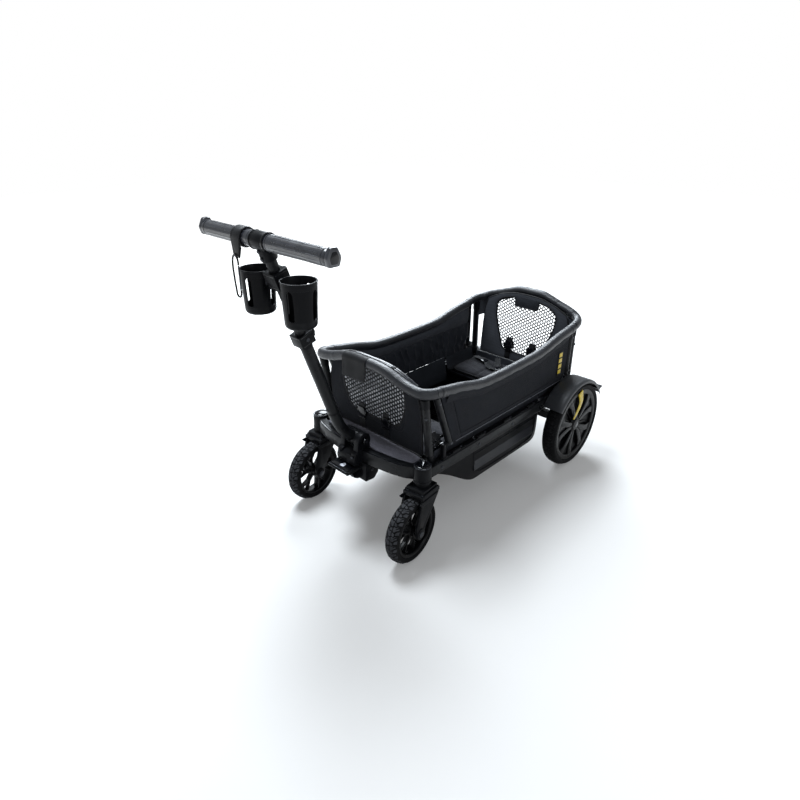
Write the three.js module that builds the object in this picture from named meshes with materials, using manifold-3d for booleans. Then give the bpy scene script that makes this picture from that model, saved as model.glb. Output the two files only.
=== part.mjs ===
// Folding kids pull wagon: tub on a low chassis, two swivel casters in front, two large rear wheels and a
// telescoping T-handle with two cup holders.
// Millimetres, +Z up. X runs across, the handle end is -Y, right is +X. Stations along Y are measured
// from the caster swivel axes, and the finished wagon is moved so that the origin lies under its middle.

import * as THREE from 'three';
import { mergeVertices } from 'three/addons/utils/BufferGeometryUtils.js';
import Module from 'manifold-3d';

const wasm = await Module();
wasm.setup();

// ---------------------------------------------------------------- driving dimensions

const ORIGIN_Y = 284.5;          // station of the origin
const GAP = 0.3;                 // between touching pieces
const SIDES = [['left', -1], ['right', 1]];

const CASTER = { x: 224, trail: 50, yaw: 5.7, radius: 101, width: 45, rimRadius: 80 };
const REAR = { x: 284, y: 750, radius: 159, width: 52, rimRadius: 136 };
const SOCKET = { radius: 26, bottom: 243, top: 292 };
const RAIL = { inner: 212, outer: 238, bottom: 246, top: 279, back: 856 };
const BEAM = { bow: 60, depth: 28, bottom: 250, top: 288 };
const DECK = { top: 262, thick: 9, side: 211.5, frontEnd: 250, rearStart: 620 };
const PAD = { top: 288, side: 186 };
const WELL = { side: 208, wall: 4, top: 250, floor: 108 };
const TUBE = 15;                 // radius of the padded top rail and the arches
const POST = 13;
const WALL = { x: 225, pivot: 322, inner: 219, outer: 229, bottom: 314, front: 40, back: 790, post: 9 };
const PANEL_THICK = 8;           // end panels, front and rear
const FRONT_PANEL = { side: 194, y: 34, pivot: 302, lean: 3 };
const REAR_PANEL = { side: 194, y: 812, pivot: 302, lean: 6 };
const HUB = { y: -50, z: 318, radius: 24, half: 20, earOuter: 38 };
const SHAFT = { y: -122, z: 410, tilt: 19.75, outer: 17, inner: 14, top: 290, collar: 281 };
const HEAD = { s: 555, barRadius: 12, half: 26 };
const GRIP = { length: 233, radius: 20 };
const CUP = { x: 82, y: -278, top: 852, bottom: 742, topRadius: 44, bottomRadius: 38, wall: 2.6 };
const PEDAL = { half: 45, heel: -70, tip: -125 };
const BRAKE = { ring: 60, pin: 4, pocket: 6.5, pockets: 8 };

// ---------------------------------------------------------------- finishes

function finish(color, roughness, metalness = 0) {
  return new THREE.MeshStandardMaterial({ color, roughness, metalness });
}

const blackMetal = () => finish(0x141518, 0.42, 0.5);
const blackPlastic = () => finish(0x17181a, 0.55);
const glossPlastic = () => finish(0x0c0d10, 0.22);
const railCover = () => finish(0x2c2e34, 0.6);
const wallFabric = () => finish(0x26282d, 0.85);
const seatFabric = () => finish(0x44454b, 0.9);
const tyreRubber = () => finish(0x1b1b1c, 0.8);
const softRubber = () => finish(0x16171b, 0.5);

// ---------------------------------------------------------------- geometry helpers

const rad = THREE.MathUtils.degToRad;

// Merges shared corners, drops empty triangles and turns every face outwards.
function closed(geometry) {
  const bare = new THREE.BufferGeometry();
  bare.setAttribute('position', geometry.getAttribute('position').clone());
  if (geometry.index) {
    bare.setIndex(geometry.index.clone());
  }
  const merged = mergeVertices(bare, 1e-3);
  const position = merged.getAttribute('position');
  const faces = [];
  let volume = 0;
  const corner = [new THREE.Vector3(), new THREE.Vector3(), new THREE.Vector3()];
  for (let i = 0; i < merged.index.count; i += 3) {
    const ids = [merged.index.getX(i), merged.index.getX(i + 1), merged.index.getX(i + 2)];
    if (new Set(ids).size < 3) {
      continue;
    }
    ids.forEach((id, k) => corner[k].fromBufferAttribute(position, id));
    volume += corner[0].dot(corner[1].clone().cross(corner[2]));
    faces.push(ids);
  }
  merged.setIndex(faces.flatMap((ids) => (volume < 0 ? [ids[0], ids[2], ids[1]] : ids)));
  return merged;
}

function solid(geometry) {
  const merged = closed(geometry);
  const vertProperties = new Float32Array(merged.getAttribute('position').array);
  const triVerts = new Uint32Array(merged.index.array);
  return new wasm.Manifold(new wasm.Mesh({ numProp: 3, vertProperties, triVerts }));
}

function geometryOf(manifold) {
  const mesh = manifold.getMesh();
  const geometry = new THREE.BufferGeometry();
  geometry.setAttribute('position', new THREE.BufferAttribute(new Float32Array(mesh.vertProperties), 3));
  geometry.setIndex(new THREE.BufferAttribute(new Uint32Array(mesh.triVerts), 1));
  return geometry;
}

const join = (...pieces) => geometryOf(pieces.map(solid).reduce((a, b) => a.add(b)));
const cut = (piece, ...tools) => geometryOf(tools.map(solid).reduce((a, b) => a.subtract(b), solid(piece)));
const keep = (piece, region) => geometryOf(solid(piece).intersect(solid(region)));

function box(x, y, z) {
  const size = [x, y, z].map(([low, high]) => high - low);
  const centre = [x, y, z].map(([low, high]) => (low + high) / 2);
  return new THREE.BoxGeometry(...size).translate(...centre);
}

// A span on the right side, mirrored to the left one when sign is -1.
const across = (sign, low, high) => (sign > 0 ? [low, high] : [-high, -low]);

const outline = (points) => new THREE.Shape(points.map(([u, v]) => new THREE.Vector2(u, v)));

function prism(points, depth) {
  return new THREE.ExtrudeGeometry(outline(points), { depth, bevelEnabled: false, curveSegments: 8 });
}

// Outline in (y, z), extruded along X.
function prismX(points, [low, high]) {
  const turn = new THREE.Matrix4().makeBasis(
    new THREE.Vector3(0, 1, 0), new THREE.Vector3(0, 0, 1), new THREE.Vector3(1, 0, 0));
  return prism(points, high - low).applyMatrix4(turn).translate(low, 0, 0);
}

// Outline in (x, z), extruded along Y.
function prismY(points, [low, high]) {
  return prism(points, high - low).rotateX(Math.PI / 2).translate(0, high, 0);
}

// Outline in (x, y), extruded along Z.
const prismZ = (points, [low, high]) => prism(points, high - low).translate(0, 0, low);

function arc(cx, cy, radius, from, to, count) {
  return Array.from({ length: count + 1 }, (_, i) => {
    const angle = rad(from + ((to - from) * i) / count);
    return [cx + radius * Math.cos(angle), cy + radius * Math.sin(angle)];
  });
}

const ring = (radius, count) => arc(0, 0, radius, 0, 360 - 360 / count, count - 1);

function rodX(radius, [low, high], y, z, sides = 16) {
  return new THREE.CylinderGeometry(radius, radius, high - low, sides)
    .rotateZ(Math.PI / 2).translate((low + high) / 2, y, z);
}

function rodY(radius, [low, high], x, z, sides = 8) {
  return new THREE.CylinderGeometry(radius, radius, high - low, sides).translate(x, (low + high) / 2, z);
}

function rodZ(radius, [low, high], x, y, sides = 12) {
  return new THREE.CylinderGeometry(radius, radius, high - low, sides)
    .rotateX(Math.PI / 2).translate(x, y, (low + high) / 2);
}

// A straight rod between two points.
function rod(radius, start, end, sides = 8) {
  const a = new THREE.Vector3(...start);
  const b = new THREE.Vector3(...end);
  const turn = new THREE.Quaternion().setFromUnitVectors(
    new THREE.Vector3(0, 1, 0), b.clone().sub(a).normalize());
  const middle = a.clone().add(b).multiplyScalar(0.5);
  return new THREE.CylinderGeometry(radius, radius, a.distanceTo(b), sides)
    .applyQuaternion(turn).translate(middle.x, middle.y, middle.z);
}

const smooth = (points) => new THREE.CatmullRomCurve3(
  points.map((p) => new THREE.Vector3(...p)), false, 'centripetal');

function tube(points, radius, steps, sides = 8) {
  return new THREE.ExtrudeGeometry(outline(ring(radius, sides)), { steps, extrudePath: smooth(points) });
}

// Profile of [radius, x] pairs turned about the X axis at (y, z).
function turnedX(profile, y, z, segments = 24) {
  const points = profile.map(([r, x]) => new THREE.Vector2(r, x));
  return new THREE.LatheGeometry(points, segments).rotateZ(-Math.PI / 2).translate(0, y, z);
}

// Profile of [radius, z] pairs turned about a vertical axis at (x, y).
function turnedZ(profile, x, y, segments = 20) {
  const points = profile.map(([r, h]) => new THREE.Vector2(r, h));
  return new THREE.LatheGeometry(points, segments).rotateX(Math.PI / 2).translate(x, y, 0);
}

const wagon = new THREE.Group();
wagon.position.y = -ORIGIN_Y;

function add(name, geometry, material, parent = wagon) {
  const mesh = new THREE.Mesh(closed(geometry), material);
  mesh.name = name;
  parent.add(mesh);
}

// ---------------------------------------------------------------- chassis

const socketSpace = (sign) => rodZ(SOCKET.radius + GAP, [200, 330], sign * CASTER.x, 0, 16);

// Plan of the bowed crossbeam: an arc between the sockets, pushed forward in the middle.
function beamArc(offset) {
  return Array.from({ length: 13 }, (_, i) => {
    const t = (i / 12) * 2 - 1;
    return [t * CASTER.x, -BEAM.bow * Math.sqrt(1 - 0.97 * t * t) + offset];
  });
}

function addChassis() {
  for (const [side, sign] of SIDES) {
    const span = across(sign, RAIL.inner, RAIL.outer);
    const rail = box(span, [4, RAIL.back], [RAIL.bottom, RAIL.top]);
    add(`chassis_rail_${side}`, cut(rail, socketSpace(sign)), blackMetal());
    const socket = rodZ(SOCKET.radius, [SOCKET.bottom, SOCKET.top], sign * CASTER.x, 0, 16);
    add(`caster_socket_${side}`, cut(socket, rodZ(10.5, [200, 284], sign * CASTER.x, 0)), blackPlastic());
    const low = SOCKET.top + GAP;
    const dome = [[0, low], [22, low], [22, 295], [17, 297.6], [9, 299], [0, 299.4]];
    add(`caster_cap_${side}`, turnedZ(dome, sign * CASTER.x, 0, 12), glossPlastic());
    addWallHinge(side, sign);
  }
  const plan = [...beamArc(0), ...beamArc(BEAM.depth).reverse()];
  const beam = prismZ(plan, [BEAM.bottom, BEAM.top]);
  add('front_crossbeam', cut(beam, socketSpace(-1), socketSpace(1),
    box([RAIL.inner - GAP, 300], [4 - GAP, 60], [240, 300]),
    box([-300, GAP - RAIL.inner], [4 - GAP, 60], [240, 300])), blackMetal());
  add('rear_crossbeam', box([-DECK.side, DECK.side], [830, RAIL.back], [252, RAIL.top]), blackMetal());
}

// Strip on the side rail with two upstands that carry the side wall's pivots.
function addWallHinge(side, sign) {
  const low = RAIL.top + GAP;
  const strip = box(across(sign, 221, 236), [78, 768], [low, 284]);
  const front = box(across(sign, 221, 233), [80, 92], [low, 328]);
  const rear = box(across(sign, 221, 233), [750, 764], [low, 330]);
  add(`wall_hinge_${side}`, join(strip, front, rear), blackPlastic());
}

// ---------------------------------------------------------------- rear axle, fenders and wheels

function addRearAxle() {
  const half = RAIL.outer + 14;
  const pieces = [box([-half, half], [737, 763], [146, 172])];
  for (const [, sign] of SIDES) {
    pieces.push(box(across(sign, 214, 236), [726, 774], [160, RAIL.bottom - GAP]));
    pieces.push(rodX(8, across(sign, half - 4, 303), REAR.y, REAR.radius, 10));
  }
  add('rear_axle_beam', join(...pieces), blackMetal());
}

function addFender(side, sign) {
  const inner = REAR.radius + 10;
  const outer = inner + 4;
  const arch = [
    ...arc(REAR.y, REAR.radius, outer, 36, 152, 12),
    ...arc(REAR.y, REAR.radius, inner, 152, 36, 12),
  ];
  const lip = [[880, 261], [887, 255], [909, 262], [908, 266]];
  const stay = [[700, 250], [800, 250], [800, 324], [700, 324]];
  add(`fender_${side}`, join(
    prismX(arch, across(sign, 240, 314)),
    prismX(lip, across(sign, 240, 314)),
    prismX(stay, across(sign, 239, 245))), blackPlastic());
}

function tyreProfile(radius, rimRadius, width) {
  const half = width / 2;
  return [
    [rimRadius, -half * 0.8], [radius * 0.92, -half], [radius, -half * 0.5], [radius, half * 0.5],
    [radius * 0.92, half], [rimRadius, half * 0.8], [rimRadius, -half * 0.8],
  ];
}

function addRearWheel(side, sign) {
  const centre = sign * REAR.x;
  const at = (profile, segments) => turnedX(profile, REAR.y, REAR.radius, segments).translate(centre, 0, 0);
  add(`rear_tyre_${side}`, at(tyreProfile(REAR.radius, REAR.rimRadius, REAR.width), 32), tyreRubber());
  const rim = REAR.rimRadius - 1;
  const web = [
    [8.6, -24], [26, -22], [rim, -20], [rim, 20], [rim - 8, 20], [rim - 8, -12], [26, -12], [26, 24],
    [8.6, 24], [8.6, -24],
  ].map(([r, x]) => [r, x * sign]);
  const pockets = arc(REAR.y, REAR.radius, BRAKE.ring, 90, 450 - 360 / BRAKE.pockets, BRAKE.pockets - 1)
    .map(([y, z]) => rodX(BRAKE.pocket, across(sign, REAR.x - 30, REAR.x - 8), y, z, 6));
  add(`rear_rim_${side}`, cut(at(web, 20), ...pockets), blackPlastic());
  const pin = rodX(BRAKE.pin, across(sign, RAIL.outer, 257), REAR.y, REAR.radius + BRAKE.ring, 8);
  add(`brake_pin_${side}`, pin, blackMetal());
}

// ---------------------------------------------------------------- casters

function addCaster(side, sign) {
  const caster = new THREE.Group();
  caster.position.set(sign * CASTER.x, 0, 0);
  caster.rotation.z = rad(CASTER.yaw);
  wagon.add(caster);
  const y = -CASTER.trail;
  const z = CASTER.radius;
  const legOutline = [[-34, 224], [34, 224], [34, 204], [-30, 112],
    ...arc(y, z, 17, 0, -180, 5), [y - 17, 130], [-44, 204]];
  const fork = join(
    box([-35, 35], [-44, 38], [208, 220]),
    box([-30, 30], [-34, 32], [219, 232]),
    rodZ(20, [231, 240], 0, 0),
    rodZ(10, [239, 280], 0, 0),
    prismX(legOutline, [27, 35]),
    prismX(legOutline, [-35, -27]));
  add(`caster_fork_${side}`, cut(fork, rodX(5.5, [-40, 40], y, z, 8)), blackPlastic(), caster);
  const axle = join(
    rodX(4.8, [-37, 37], y, z, 8),
    rodX(9, [35 + GAP, 40], y, z, 8),
    rodX(9, [-40, -35 - GAP], y, z, 8));
  add(`front_axle_${side}`, axle, blackMetal(), caster);
  add(`front_tyre_${side}`, turnedX(tyreProfile(CASTER.radius, CASTER.rimRadius, CASTER.width), y, z, 28),
    tyreRubber(), caster);
  const rim = CASTER.rimRadius - 1;
  const web = [
    [5.6, -22], [17, -22], [17, -6], [rim, -17], [rim, 17], [17, 6], [17, 22], [5.6, 22], [5.6, -22],
  ];
  add(`front_rim_${side}`, turnedX(web, y, z, 20), blackPlastic(), caster);
}

// ---------------------------------------------------------------- decks, pads and footwell

function addFloor() {
  const low = DECK.top - DECK.thick;
  const apronPlan = [...beamArc(BEAM.depth + 1).filter(([x]) => Math.abs(x) < 190), [190, 40], [-190, 40]];
  const apron = prismZ(apronPlan, [272, 282]);
  const riser = box([-190, 190], [30, 40], [low, 282]);
  const deck = box([-DECK.side, DECK.side], [30, DECK.frontEnd], [low, DECK.top]);
  add('front_deck', join(apron, riser, deck), blackPlastic());
  add('rear_deck', box([-DECK.side, DECK.side], [DECK.rearStart, 829], [low, DECK.top]), blackPlastic());
  add('front_seat_pad', box([-PAD.side, PAD.side], [66, 246], [DECK.top + GAP, PAD.top]), seatFabric());
  add('rear_seat_pad', box([-PAD.side, PAD.side], [624, 786], [DECK.top + GAP, PAD.top]), seatFabric());

  // The underside rises towards the front so that the casters swing below it.
  const under = [[60, WELL.top], [75, 222], [106, 206], [147, 182], [193, 150], [235, 122], [268, WELL.floor],
    [606, WELL.floor], [628, 116], [638, 142], [640, WELL.top]];
  const inside = [[66, 260], [79, 225], [109, 210], [150, 186], [196, 154], [238, 126],
    [270, WELL.floor + WELL.wall], [604, WELL.floor + WELL.wall], [624, 120], [634, 144], [636, 260]];
  const shell = prismX(under, [-WELL.side, WELL.side]);
  const hollow = prismX(inside, [WELL.wall - WELL.side, WELL.side - WELL.wall]);
  add('footwell', cut(shell, hollow), blackPlastic());
}

// ---------------------------------------------------------------- hoops and end panels

function addHoops() {
  const mirrored = (half) => [...half.map(([x, y, z]) => [-x, y, z]), ...half.slice(0, -1).reverse()];
  const frontHalf = [[225, 60, 500], [225, 34, 505], [210, 6, 510], [180, -2, 515], [136, -3, 525],
    [90, -4, 539], [45, -4, 544], [0, -4, 544.5]];
  const frontSpace = box([-260, 260], [-60, WALL.front - 0.5], [300, 700]);
  const frontArch = keep(tube(mirrored(frontHalf), TUBE, 30), frontSpace);
  const rearHalf = [[225, 760, 499], [225, 790, 506], [219, 826, 512], [200, 852, 518], [165, 861, 532],
    [120, 862, 546], [80, 862, 560], [50, 862, 569], [0, 862, 570]];
  const rearSpace = box([-260, 260], [WALL.back + 0.5, 900], [300, 700]);
  const rearArch = keep(tube(mirrored(rearHalf), TUBE, 30), rearSpace);
  const floor = box([-300, 300], [-100, 1000], [RAIL.top + GAP, 700]);
  const frontPosts = SIDES.map(([, sign]) => rod(POST, [sign * 208.5, 50, 270], [sign * 214, 12, 505]));
  const rearPosts = SIDES.map(([, sign]) => rod(POST, [sign * 214, 812, 270], [sign * 215, 808, 508]));
  add('front_hoop', keep(join(frontArch, ...frontPosts), floor), railCover());
  add('rear_hoop', keep(join(rearArch, ...rearPosts), floor), railCover());
}

function addEndPanels() {
  const top = [[176, 500], [136, 516], [90, 530], [0, 535]];
  const edge = [[FRONT_PANEL.side, FRONT_PANEL.pivot - 4], [FRONT_PANEL.side, 440], ...top];
  const shape = [...edge, ...edge.slice(0, -1).reverse().map(([x, z]) => [-x, z])];
  const half = PANEL_THICK / 2;
  const lean = (geometry, panel, sign) => geometry.translate(0, 0, -panel.pivot)
    .rotateX(sign * rad(panel.lean)).translate(0, panel.y, panel.pivot);
  add('front_panel', lean(prismY(shape, [-half, half]), FRONT_PANEL, 1), wallFabric());
  const barHalf = [[178, 0, 510], [136, 0, 527], [90, 0, 541], [45, 0, 546], [0, 0, 546.5]];
  const barLine = [...barHalf.map(([x, y, z]) => [-x, y, z]), ...barHalf.slice(0, -1).reverse()];
  const slot = prismY(shape.map(([x, z]) => [x, z + GAP]), [-half - GAP, half + GAP]);
  add('front_panel_bar', lean(cut(tube(barLine, 7.5, 12, 6), slot), FRONT_PANEL, 1), railCover());

  const rearEdge = [[REAR_PANEL.side, REAR_PANEL.pivot - 4], [REAR_PANEL.side, 470], [178, 515], [120, 538],
    [60, 558], [0, 560]];
  const rearShape = [...rearEdge, ...rearEdge.slice(0, -1).reverse().map(([x, z]) => [-x, z])];
  add('rear_panel', lean(prismY(rearShape, [-half, half]), REAR_PANEL, -1), wallFabric());
}

// ---------------------------------------------------------------- side walls

const RAIL_LINE = [
  [20, 507], [63, 500], [110, 492], [156, 484], [198, 474], [246, 464], [312, 460],
  [435, 460], [568, 465], [615, 473], [660, 483], [710, 492], [759, 499], [804, 509],
];

function addSideWall(side, sign) {
  const x = sign * WALL.x;
  const path = RAIL_LINE.map(([y, z]) => [x, y, z]);
  const rail = tube(path, TUBE, 20);
  const frontPost = rod(WALL.post, [x, 113, 314], [x, 46, 492]);
  const frontKnuckle = rodY(WALL.post, [93, 125], x, WALL.pivot);
  const rearPost = rod(WALL.post, [x, 776, WALL.pivot], [x, 776, 495]);
  const rearKnuckle = rodY(WALL.post, [767, 789], x, WALL.pivot);
  const frame = keep(join(rail, frontPost, frontKnuckle, rearPost, rearKnuckle),
    box(across(sign, 180, 260), [WALL.front + 0.5, WALL.back - 0.5], [313, 600]));
  add(`side_frame_${side}`, frame, railCover());

  const curve = smooth(RAIL_LINE.map(([y, z]) => [0, y, z]));
  const under = curve.getSpacedPoints(20)
    .filter((p) => p.y > 64 && p.y < 766)
    .map((p) => [p.y, p.z - TUBE - 1.2]);
  const shape = [[127, WALL.bottom], [744, WALL.bottom], [744, 337], [766, 337],
    [766, 484], ...under.reverse(), [65, 478], [127, 334]];
  add(`side_panel_${side}`, prismX(shape, across(sign, WALL.inner, WALL.outer)), wallFabric());
}

// ---------------------------------------------------------------- handle bracket, brake pedal and hub

function addHandleBracket() {
  const base = [
    [-60.6, 200], [-78, 200], [-92, 208], [-69, 226], [-69, 247], [-90, 247], [-92, 262],
    [-86, 284], [-70, 292], [-28, 292], [-28, BEAM.top + GAP], [-60.6, BEAM.top + GAP],
  ];
  const ear = [[-78, 290], ...arc(HUB.y, HUB.z, HUB.radius, 170, 0, 9), [-28, 291]];
  const body = join(
    prismX(base, [-HUB.earOuter, HUB.earOuter]),
    prismX(ear, [HUB.half + 0.5, HUB.earOuter]),
    prismX(ear, [-HUB.earOuter, -HUB.half - 0.5]));
  const pocket = rodX(10, [HUB.earOuter - 8, 60], HUB.y, HUB.z, 12);
  const relief = prismX([[-96, 272], [-62, 289], [-62, 300], [-96, 300]], [-HUB.half, HUB.half]);
  add('handle_bracket', cut(body, pocket, relief), blackPlastic());
  add('handle_release_button', rodX(9, [HUB.earOuter - 1, 46], HUB.y, HUB.z, 8), blackPlastic());
  const plate = [
    [PEDAL.heel, 233], [PEDAL.heel, 241], [-104, 242], [PEDAL.tip, 238], [PEDAL.tip, 232], [-104, 233],
  ];
  add('brake_pedal', prismX(plate, [-PEDAL.half, PEDAL.half]), blackPlastic());
}

// ---------------------------------------------------------------- telescoping handle

// Point on the shaft axis at distance s above its lower end.
function onShaft(s) {
  const tilt = rad(SHAFT.tilt);
  return [0, SHAFT.y - s * Math.sin(tilt), SHAFT.z + s * Math.cos(tilt)];
}

const alongShaft = (radius, from, to, sides = 12) => rod(radius, onShaft(from), onShaft(to), sides);

// A box in the shaft's own frame: x across, y to its back, s along it.
function onShaftBox(x, y, [low, high]) {
  const [, centreY, centreZ] = onShaft(0);
  return box(x, y, [low, high]).rotateX(rad(SHAFT.tilt)).translate(0, centreY, centreZ);
}

function addHandleLower() {
  const barrel = rodX(HUB.radius, [-HUB.half, HUB.half], HUB.y, HUB.z);
  add('handle_hub', barrel, blackPlastic());
  const bendLine = [[0, -56, 322], [0, -78, 338], [0, -98, 362], onShaft(0), onShaft(20)];
  const bend = tube(bendLine, SHAFT.outer, 6, 12);
  const sleeve = join(bend, alongShaft(SHAFT.outer, 12, SHAFT.top));
  add('handle_outer_tube', cut(sleeve, alongShaft(SHAFT.inner + GAP, 70, SHAFT.top + 20),
    rodX(HUB.radius + GAP, [-60, 60], HUB.y, HUB.z)), blackMetal());
  const collar = join(onShaftBox([-21, 21], [-22, 22], [SHAFT.collar - 16, SHAFT.collar + 18]),
    onShaftBox([-9, 9], [20, 33], [SHAFT.collar - 10, SHAFT.collar + 10]));
  add('telescope_collar', cut(collar, alongShaft(SHAFT.outer + GAP, SHAFT.collar - 40, SHAFT.top + GAP),
    alongShaft(SHAFT.inner + GAP, SHAFT.top - 10, SHAFT.top + 40),
    onShaftBox([-6, 6], [28, 40], [SHAFT.collar - 6, SHAFT.collar + 6])), blackPlastic());
  const button = onShaftBox([-5.5, 5.5], [32, 38], [SHAFT.collar - 5.5, SHAFT.collar + 5.5]);
  add('telescope_button', button, blackPlastic());
}

function addHandleUpper() {
  const [, barY, barZ] = onShaft(HEAD.s);
  add('handle_inner_tube', alongShaft(SHAFT.inner, 200, HEAD.s - 18), blackMetal());
  const crossbar = rodX(HEAD.barRadius, [-GRIP.length + 6, GRIP.length - 6], barY, barZ);
  add('handle_crossbar', crossbar, blackMetal());
  const head = join(rodX(22, [-HEAD.half, HEAD.half], barY, barZ), alongShaft(20, HEAD.s - 46, HEAD.s - 8));
  add('handle_head', cut(head, rodX(HEAD.barRadius + GAP, [-40, 40], barY, barZ),
    alongShaft(SHAFT.inner + GAP, HEAD.s - 60, HEAD.s - 17)), blackPlastic());
  for (const [side, sign] of SIDES) {
    const bore = HEAD.barRadius + GAP;
    const sleeve = [
      [bore, 27], [GRIP.radius, 27], [GRIP.radius, 110], [18.5, 180], [18, GRIP.length - 9],
      [19, GRIP.length - 1], [19, GRIP.length + 5], [0, GRIP.length + 5], [0, GRIP.length - 5],
      [bore, GRIP.length - 5], [bore, 27],
    ].map(([r, x]) => [r, x * sign]);
    const stop = [[-14, -17], [14, -17], [20, 2], [9, 24], [-9, 24], [-20, 2]]
      .map(([y, z]) => [barY + y, barZ + z]);
    const grip = join(turnedX(sleeve, barY, barZ, 16), prismX(stop, across(sign, GRIP.length + 4, GRIP.length + 17)));
    add(`grip_${side}`, grip, softRubber());
    addCup(side, sign);
  }
  addCupBracket();
  addWristStrap(barY, barZ);
}

function addCup(side, sign) {
  const { top, bottom, topRadius, bottomRadius, wall } = CUP;
  const profile = [[0, bottom], [bottomRadius, bottom], [topRadius, top], [topRadius - wall, top],
    [bottomRadius - wall, bottom + wall], [0, bottom + wall]];
  add(`cup_holder_${side}`, turnedZ(profile, sign * CUP.x, CUP.y, 20), blackPlastic());
}

function addCupBracket() {
  const clampS = 456;
  const clamp = onShaftBox([-22, 22], [-21, 21], [clampS - 20, clampS + 24]);
  const knob = onShaftBox([-6, 6], [19, 30], [clampS + 6, clampS + 18]);
  const arm = box([-62, 62], [CUP.y - 9, CUP.y + 9], [814, 836]);
  const cups = SIDES.map(([, sign]) => turnedZ([[0, CUP.bottom - 1], [CUP.bottomRadius + GAP, CUP.bottom - 1],
    [CUP.topRadius + GAP, CUP.top + 1], [0, CUP.top + 1]], sign * CUP.x, CUP.y, 20));
  const bracket = cut(join(clamp, knob, arm), alongShaft(SHAFT.inner + GAP, 380, 560), ...cups);
  add('cup_bracket', bracket, blackPlastic());
}

// Rubber strap looped over the left grip, with a snap hook hanging in front of the cup holder.
function addWristStrap(barY, barZ) {
  const width = [-96, -60];
  const outer = GRIP.radius + 4.5;
  const front = barY - outer;
  const hookTop = barZ - 39.5;
  const loop = [...arc(barY, barZ, outer, -150, 180, 12), [front, hookTop - 2], [front + 4, hookTop - 8],
    [front + 6, hookTop], [front + 7, barZ - 22]];
  const strap = cut(prismX(loop, width), rodX(GRIP.radius + 0.7, [-120, -40], barY, barZ),
    rodY(4, [front - 10, front + 16], -78, hookTop + 0.5));
  add('wrist_strap', strap, softRubber());

  const wire = 2.6;
  const y = front - 3.4;
  const hookBottom = hookTop - 101.5;
  const bow = [[-86, hookBottom + 13], [-91, hookTop - 20.5], [-86, hookTop - 4.5], [-78, hookTop],
    [-70, hookTop - 4.5], [-66.5, hookTop - 14.5], [-66.5, hookTop - 22.5]];
  const foot = [[-66.5, hookBottom + 19], [-67, hookBottom + 7], [-76, hookBottom], [-84, hookBottom + 4], bow[0]];
  const route = [...foot, ...bow.slice(1)].map(([x, z]) => [x, y, z]);
  add('carabiner', tube(route, wire, 24, 6), blackMetal());
  const gateLine = [hookBottom + 20.5, hookTop - 24].map((z) => [-66.5, y, z]);
  add('carabiner_gate', rod(2.2, ...gateLine, 8), blackMetal());
}

// ---------------------------------------------------------------- assembly

addChassis();
addRearAxle();
for (const [side, sign] of SIDES) {
  addFender(side, sign);
  addRearWheel(side, sign);
  addCaster(side, sign);
  addSideWall(side, sign);
}
addFloor();
addHoops();
addEndPanels();
addHandleBracket();
addHandleLower();
addHandleUpper();

export default wagon;
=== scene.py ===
"""Folding kids pull wagon: soft goods, wheels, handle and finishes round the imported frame, in metres."""

import math

import bmesh
import bpy
import numpy as np
from mathutils import Matrix, Vector
from mathutils.noise import noise


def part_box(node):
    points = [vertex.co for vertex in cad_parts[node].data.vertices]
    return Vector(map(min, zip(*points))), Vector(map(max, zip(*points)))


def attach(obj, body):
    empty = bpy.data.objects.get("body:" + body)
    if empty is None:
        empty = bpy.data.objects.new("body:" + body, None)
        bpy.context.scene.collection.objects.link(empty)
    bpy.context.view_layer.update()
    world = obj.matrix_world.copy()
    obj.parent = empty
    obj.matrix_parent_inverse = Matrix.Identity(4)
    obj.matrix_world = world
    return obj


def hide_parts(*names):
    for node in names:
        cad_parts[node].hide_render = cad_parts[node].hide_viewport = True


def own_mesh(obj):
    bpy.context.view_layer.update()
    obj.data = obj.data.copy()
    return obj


bl_info = {
    "name": "Kids Pull Wagon",
    "version": (1, 0, 0),
    "blender": (4, 5, 0),
    "location": "3D View > Sidebar > Wagon",
    "description": "Builds the padded tub, wheels, handle and finishes of a folding kids pull wagon",
    "category": "Object",
}

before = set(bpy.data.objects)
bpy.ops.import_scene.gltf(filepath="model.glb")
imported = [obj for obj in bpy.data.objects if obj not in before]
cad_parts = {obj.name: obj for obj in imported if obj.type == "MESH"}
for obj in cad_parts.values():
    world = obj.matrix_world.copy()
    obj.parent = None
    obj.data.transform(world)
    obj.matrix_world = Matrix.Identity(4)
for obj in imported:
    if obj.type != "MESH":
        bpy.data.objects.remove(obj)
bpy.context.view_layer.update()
SIDES = (("left", -1), ("right", 1))
ORIGIN = 0.2845  # station of the origin; stations run back from the caster swivel axes, in millimetres
SOCKET_X = sum(c.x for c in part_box("caster_socket_right")) / 2
REAR_X = sum(c.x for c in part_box("rear_tyre_right")) / 2
FRONT_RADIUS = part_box("front_tyre_right")[1].z / 2
REAR_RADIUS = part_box("rear_tyre_right")[1].z / 2
SHAFT_TILT = math.radians(19.75)
CASTER_YAW = math.radians(5.7)
CASTER_TRAIL = 0.05
REAR_AXLE = 750  # station
WALL_X = 225  # middle of a side rail, in millimetres


def y_of(station):
    """Where a station lies along the frame's Y axis, in metres."""
    return station / 1000 - ORIGIN


def at(*point):
    """A point given as x, station and z in millimetres, in metres in the frame."""
    return np.array([point[0] / 1000, y_of(point[1]), point[2] / 1000])


def line_at(points):
    return np.array([at(*p) for p in points])


def ordered(sign, near, far):
    """Two distances carried to that side of the middle, the lower one first."""
    return sorted((sign * near, sign * far))


def wrinkle(x, y, z):
    """Smooth random height between about -1 and 1, always the same at the same place."""
    return noise(Vector((x, y, z)))


# ---------------------------------------------------------------- shapes: (points, faces)


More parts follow.
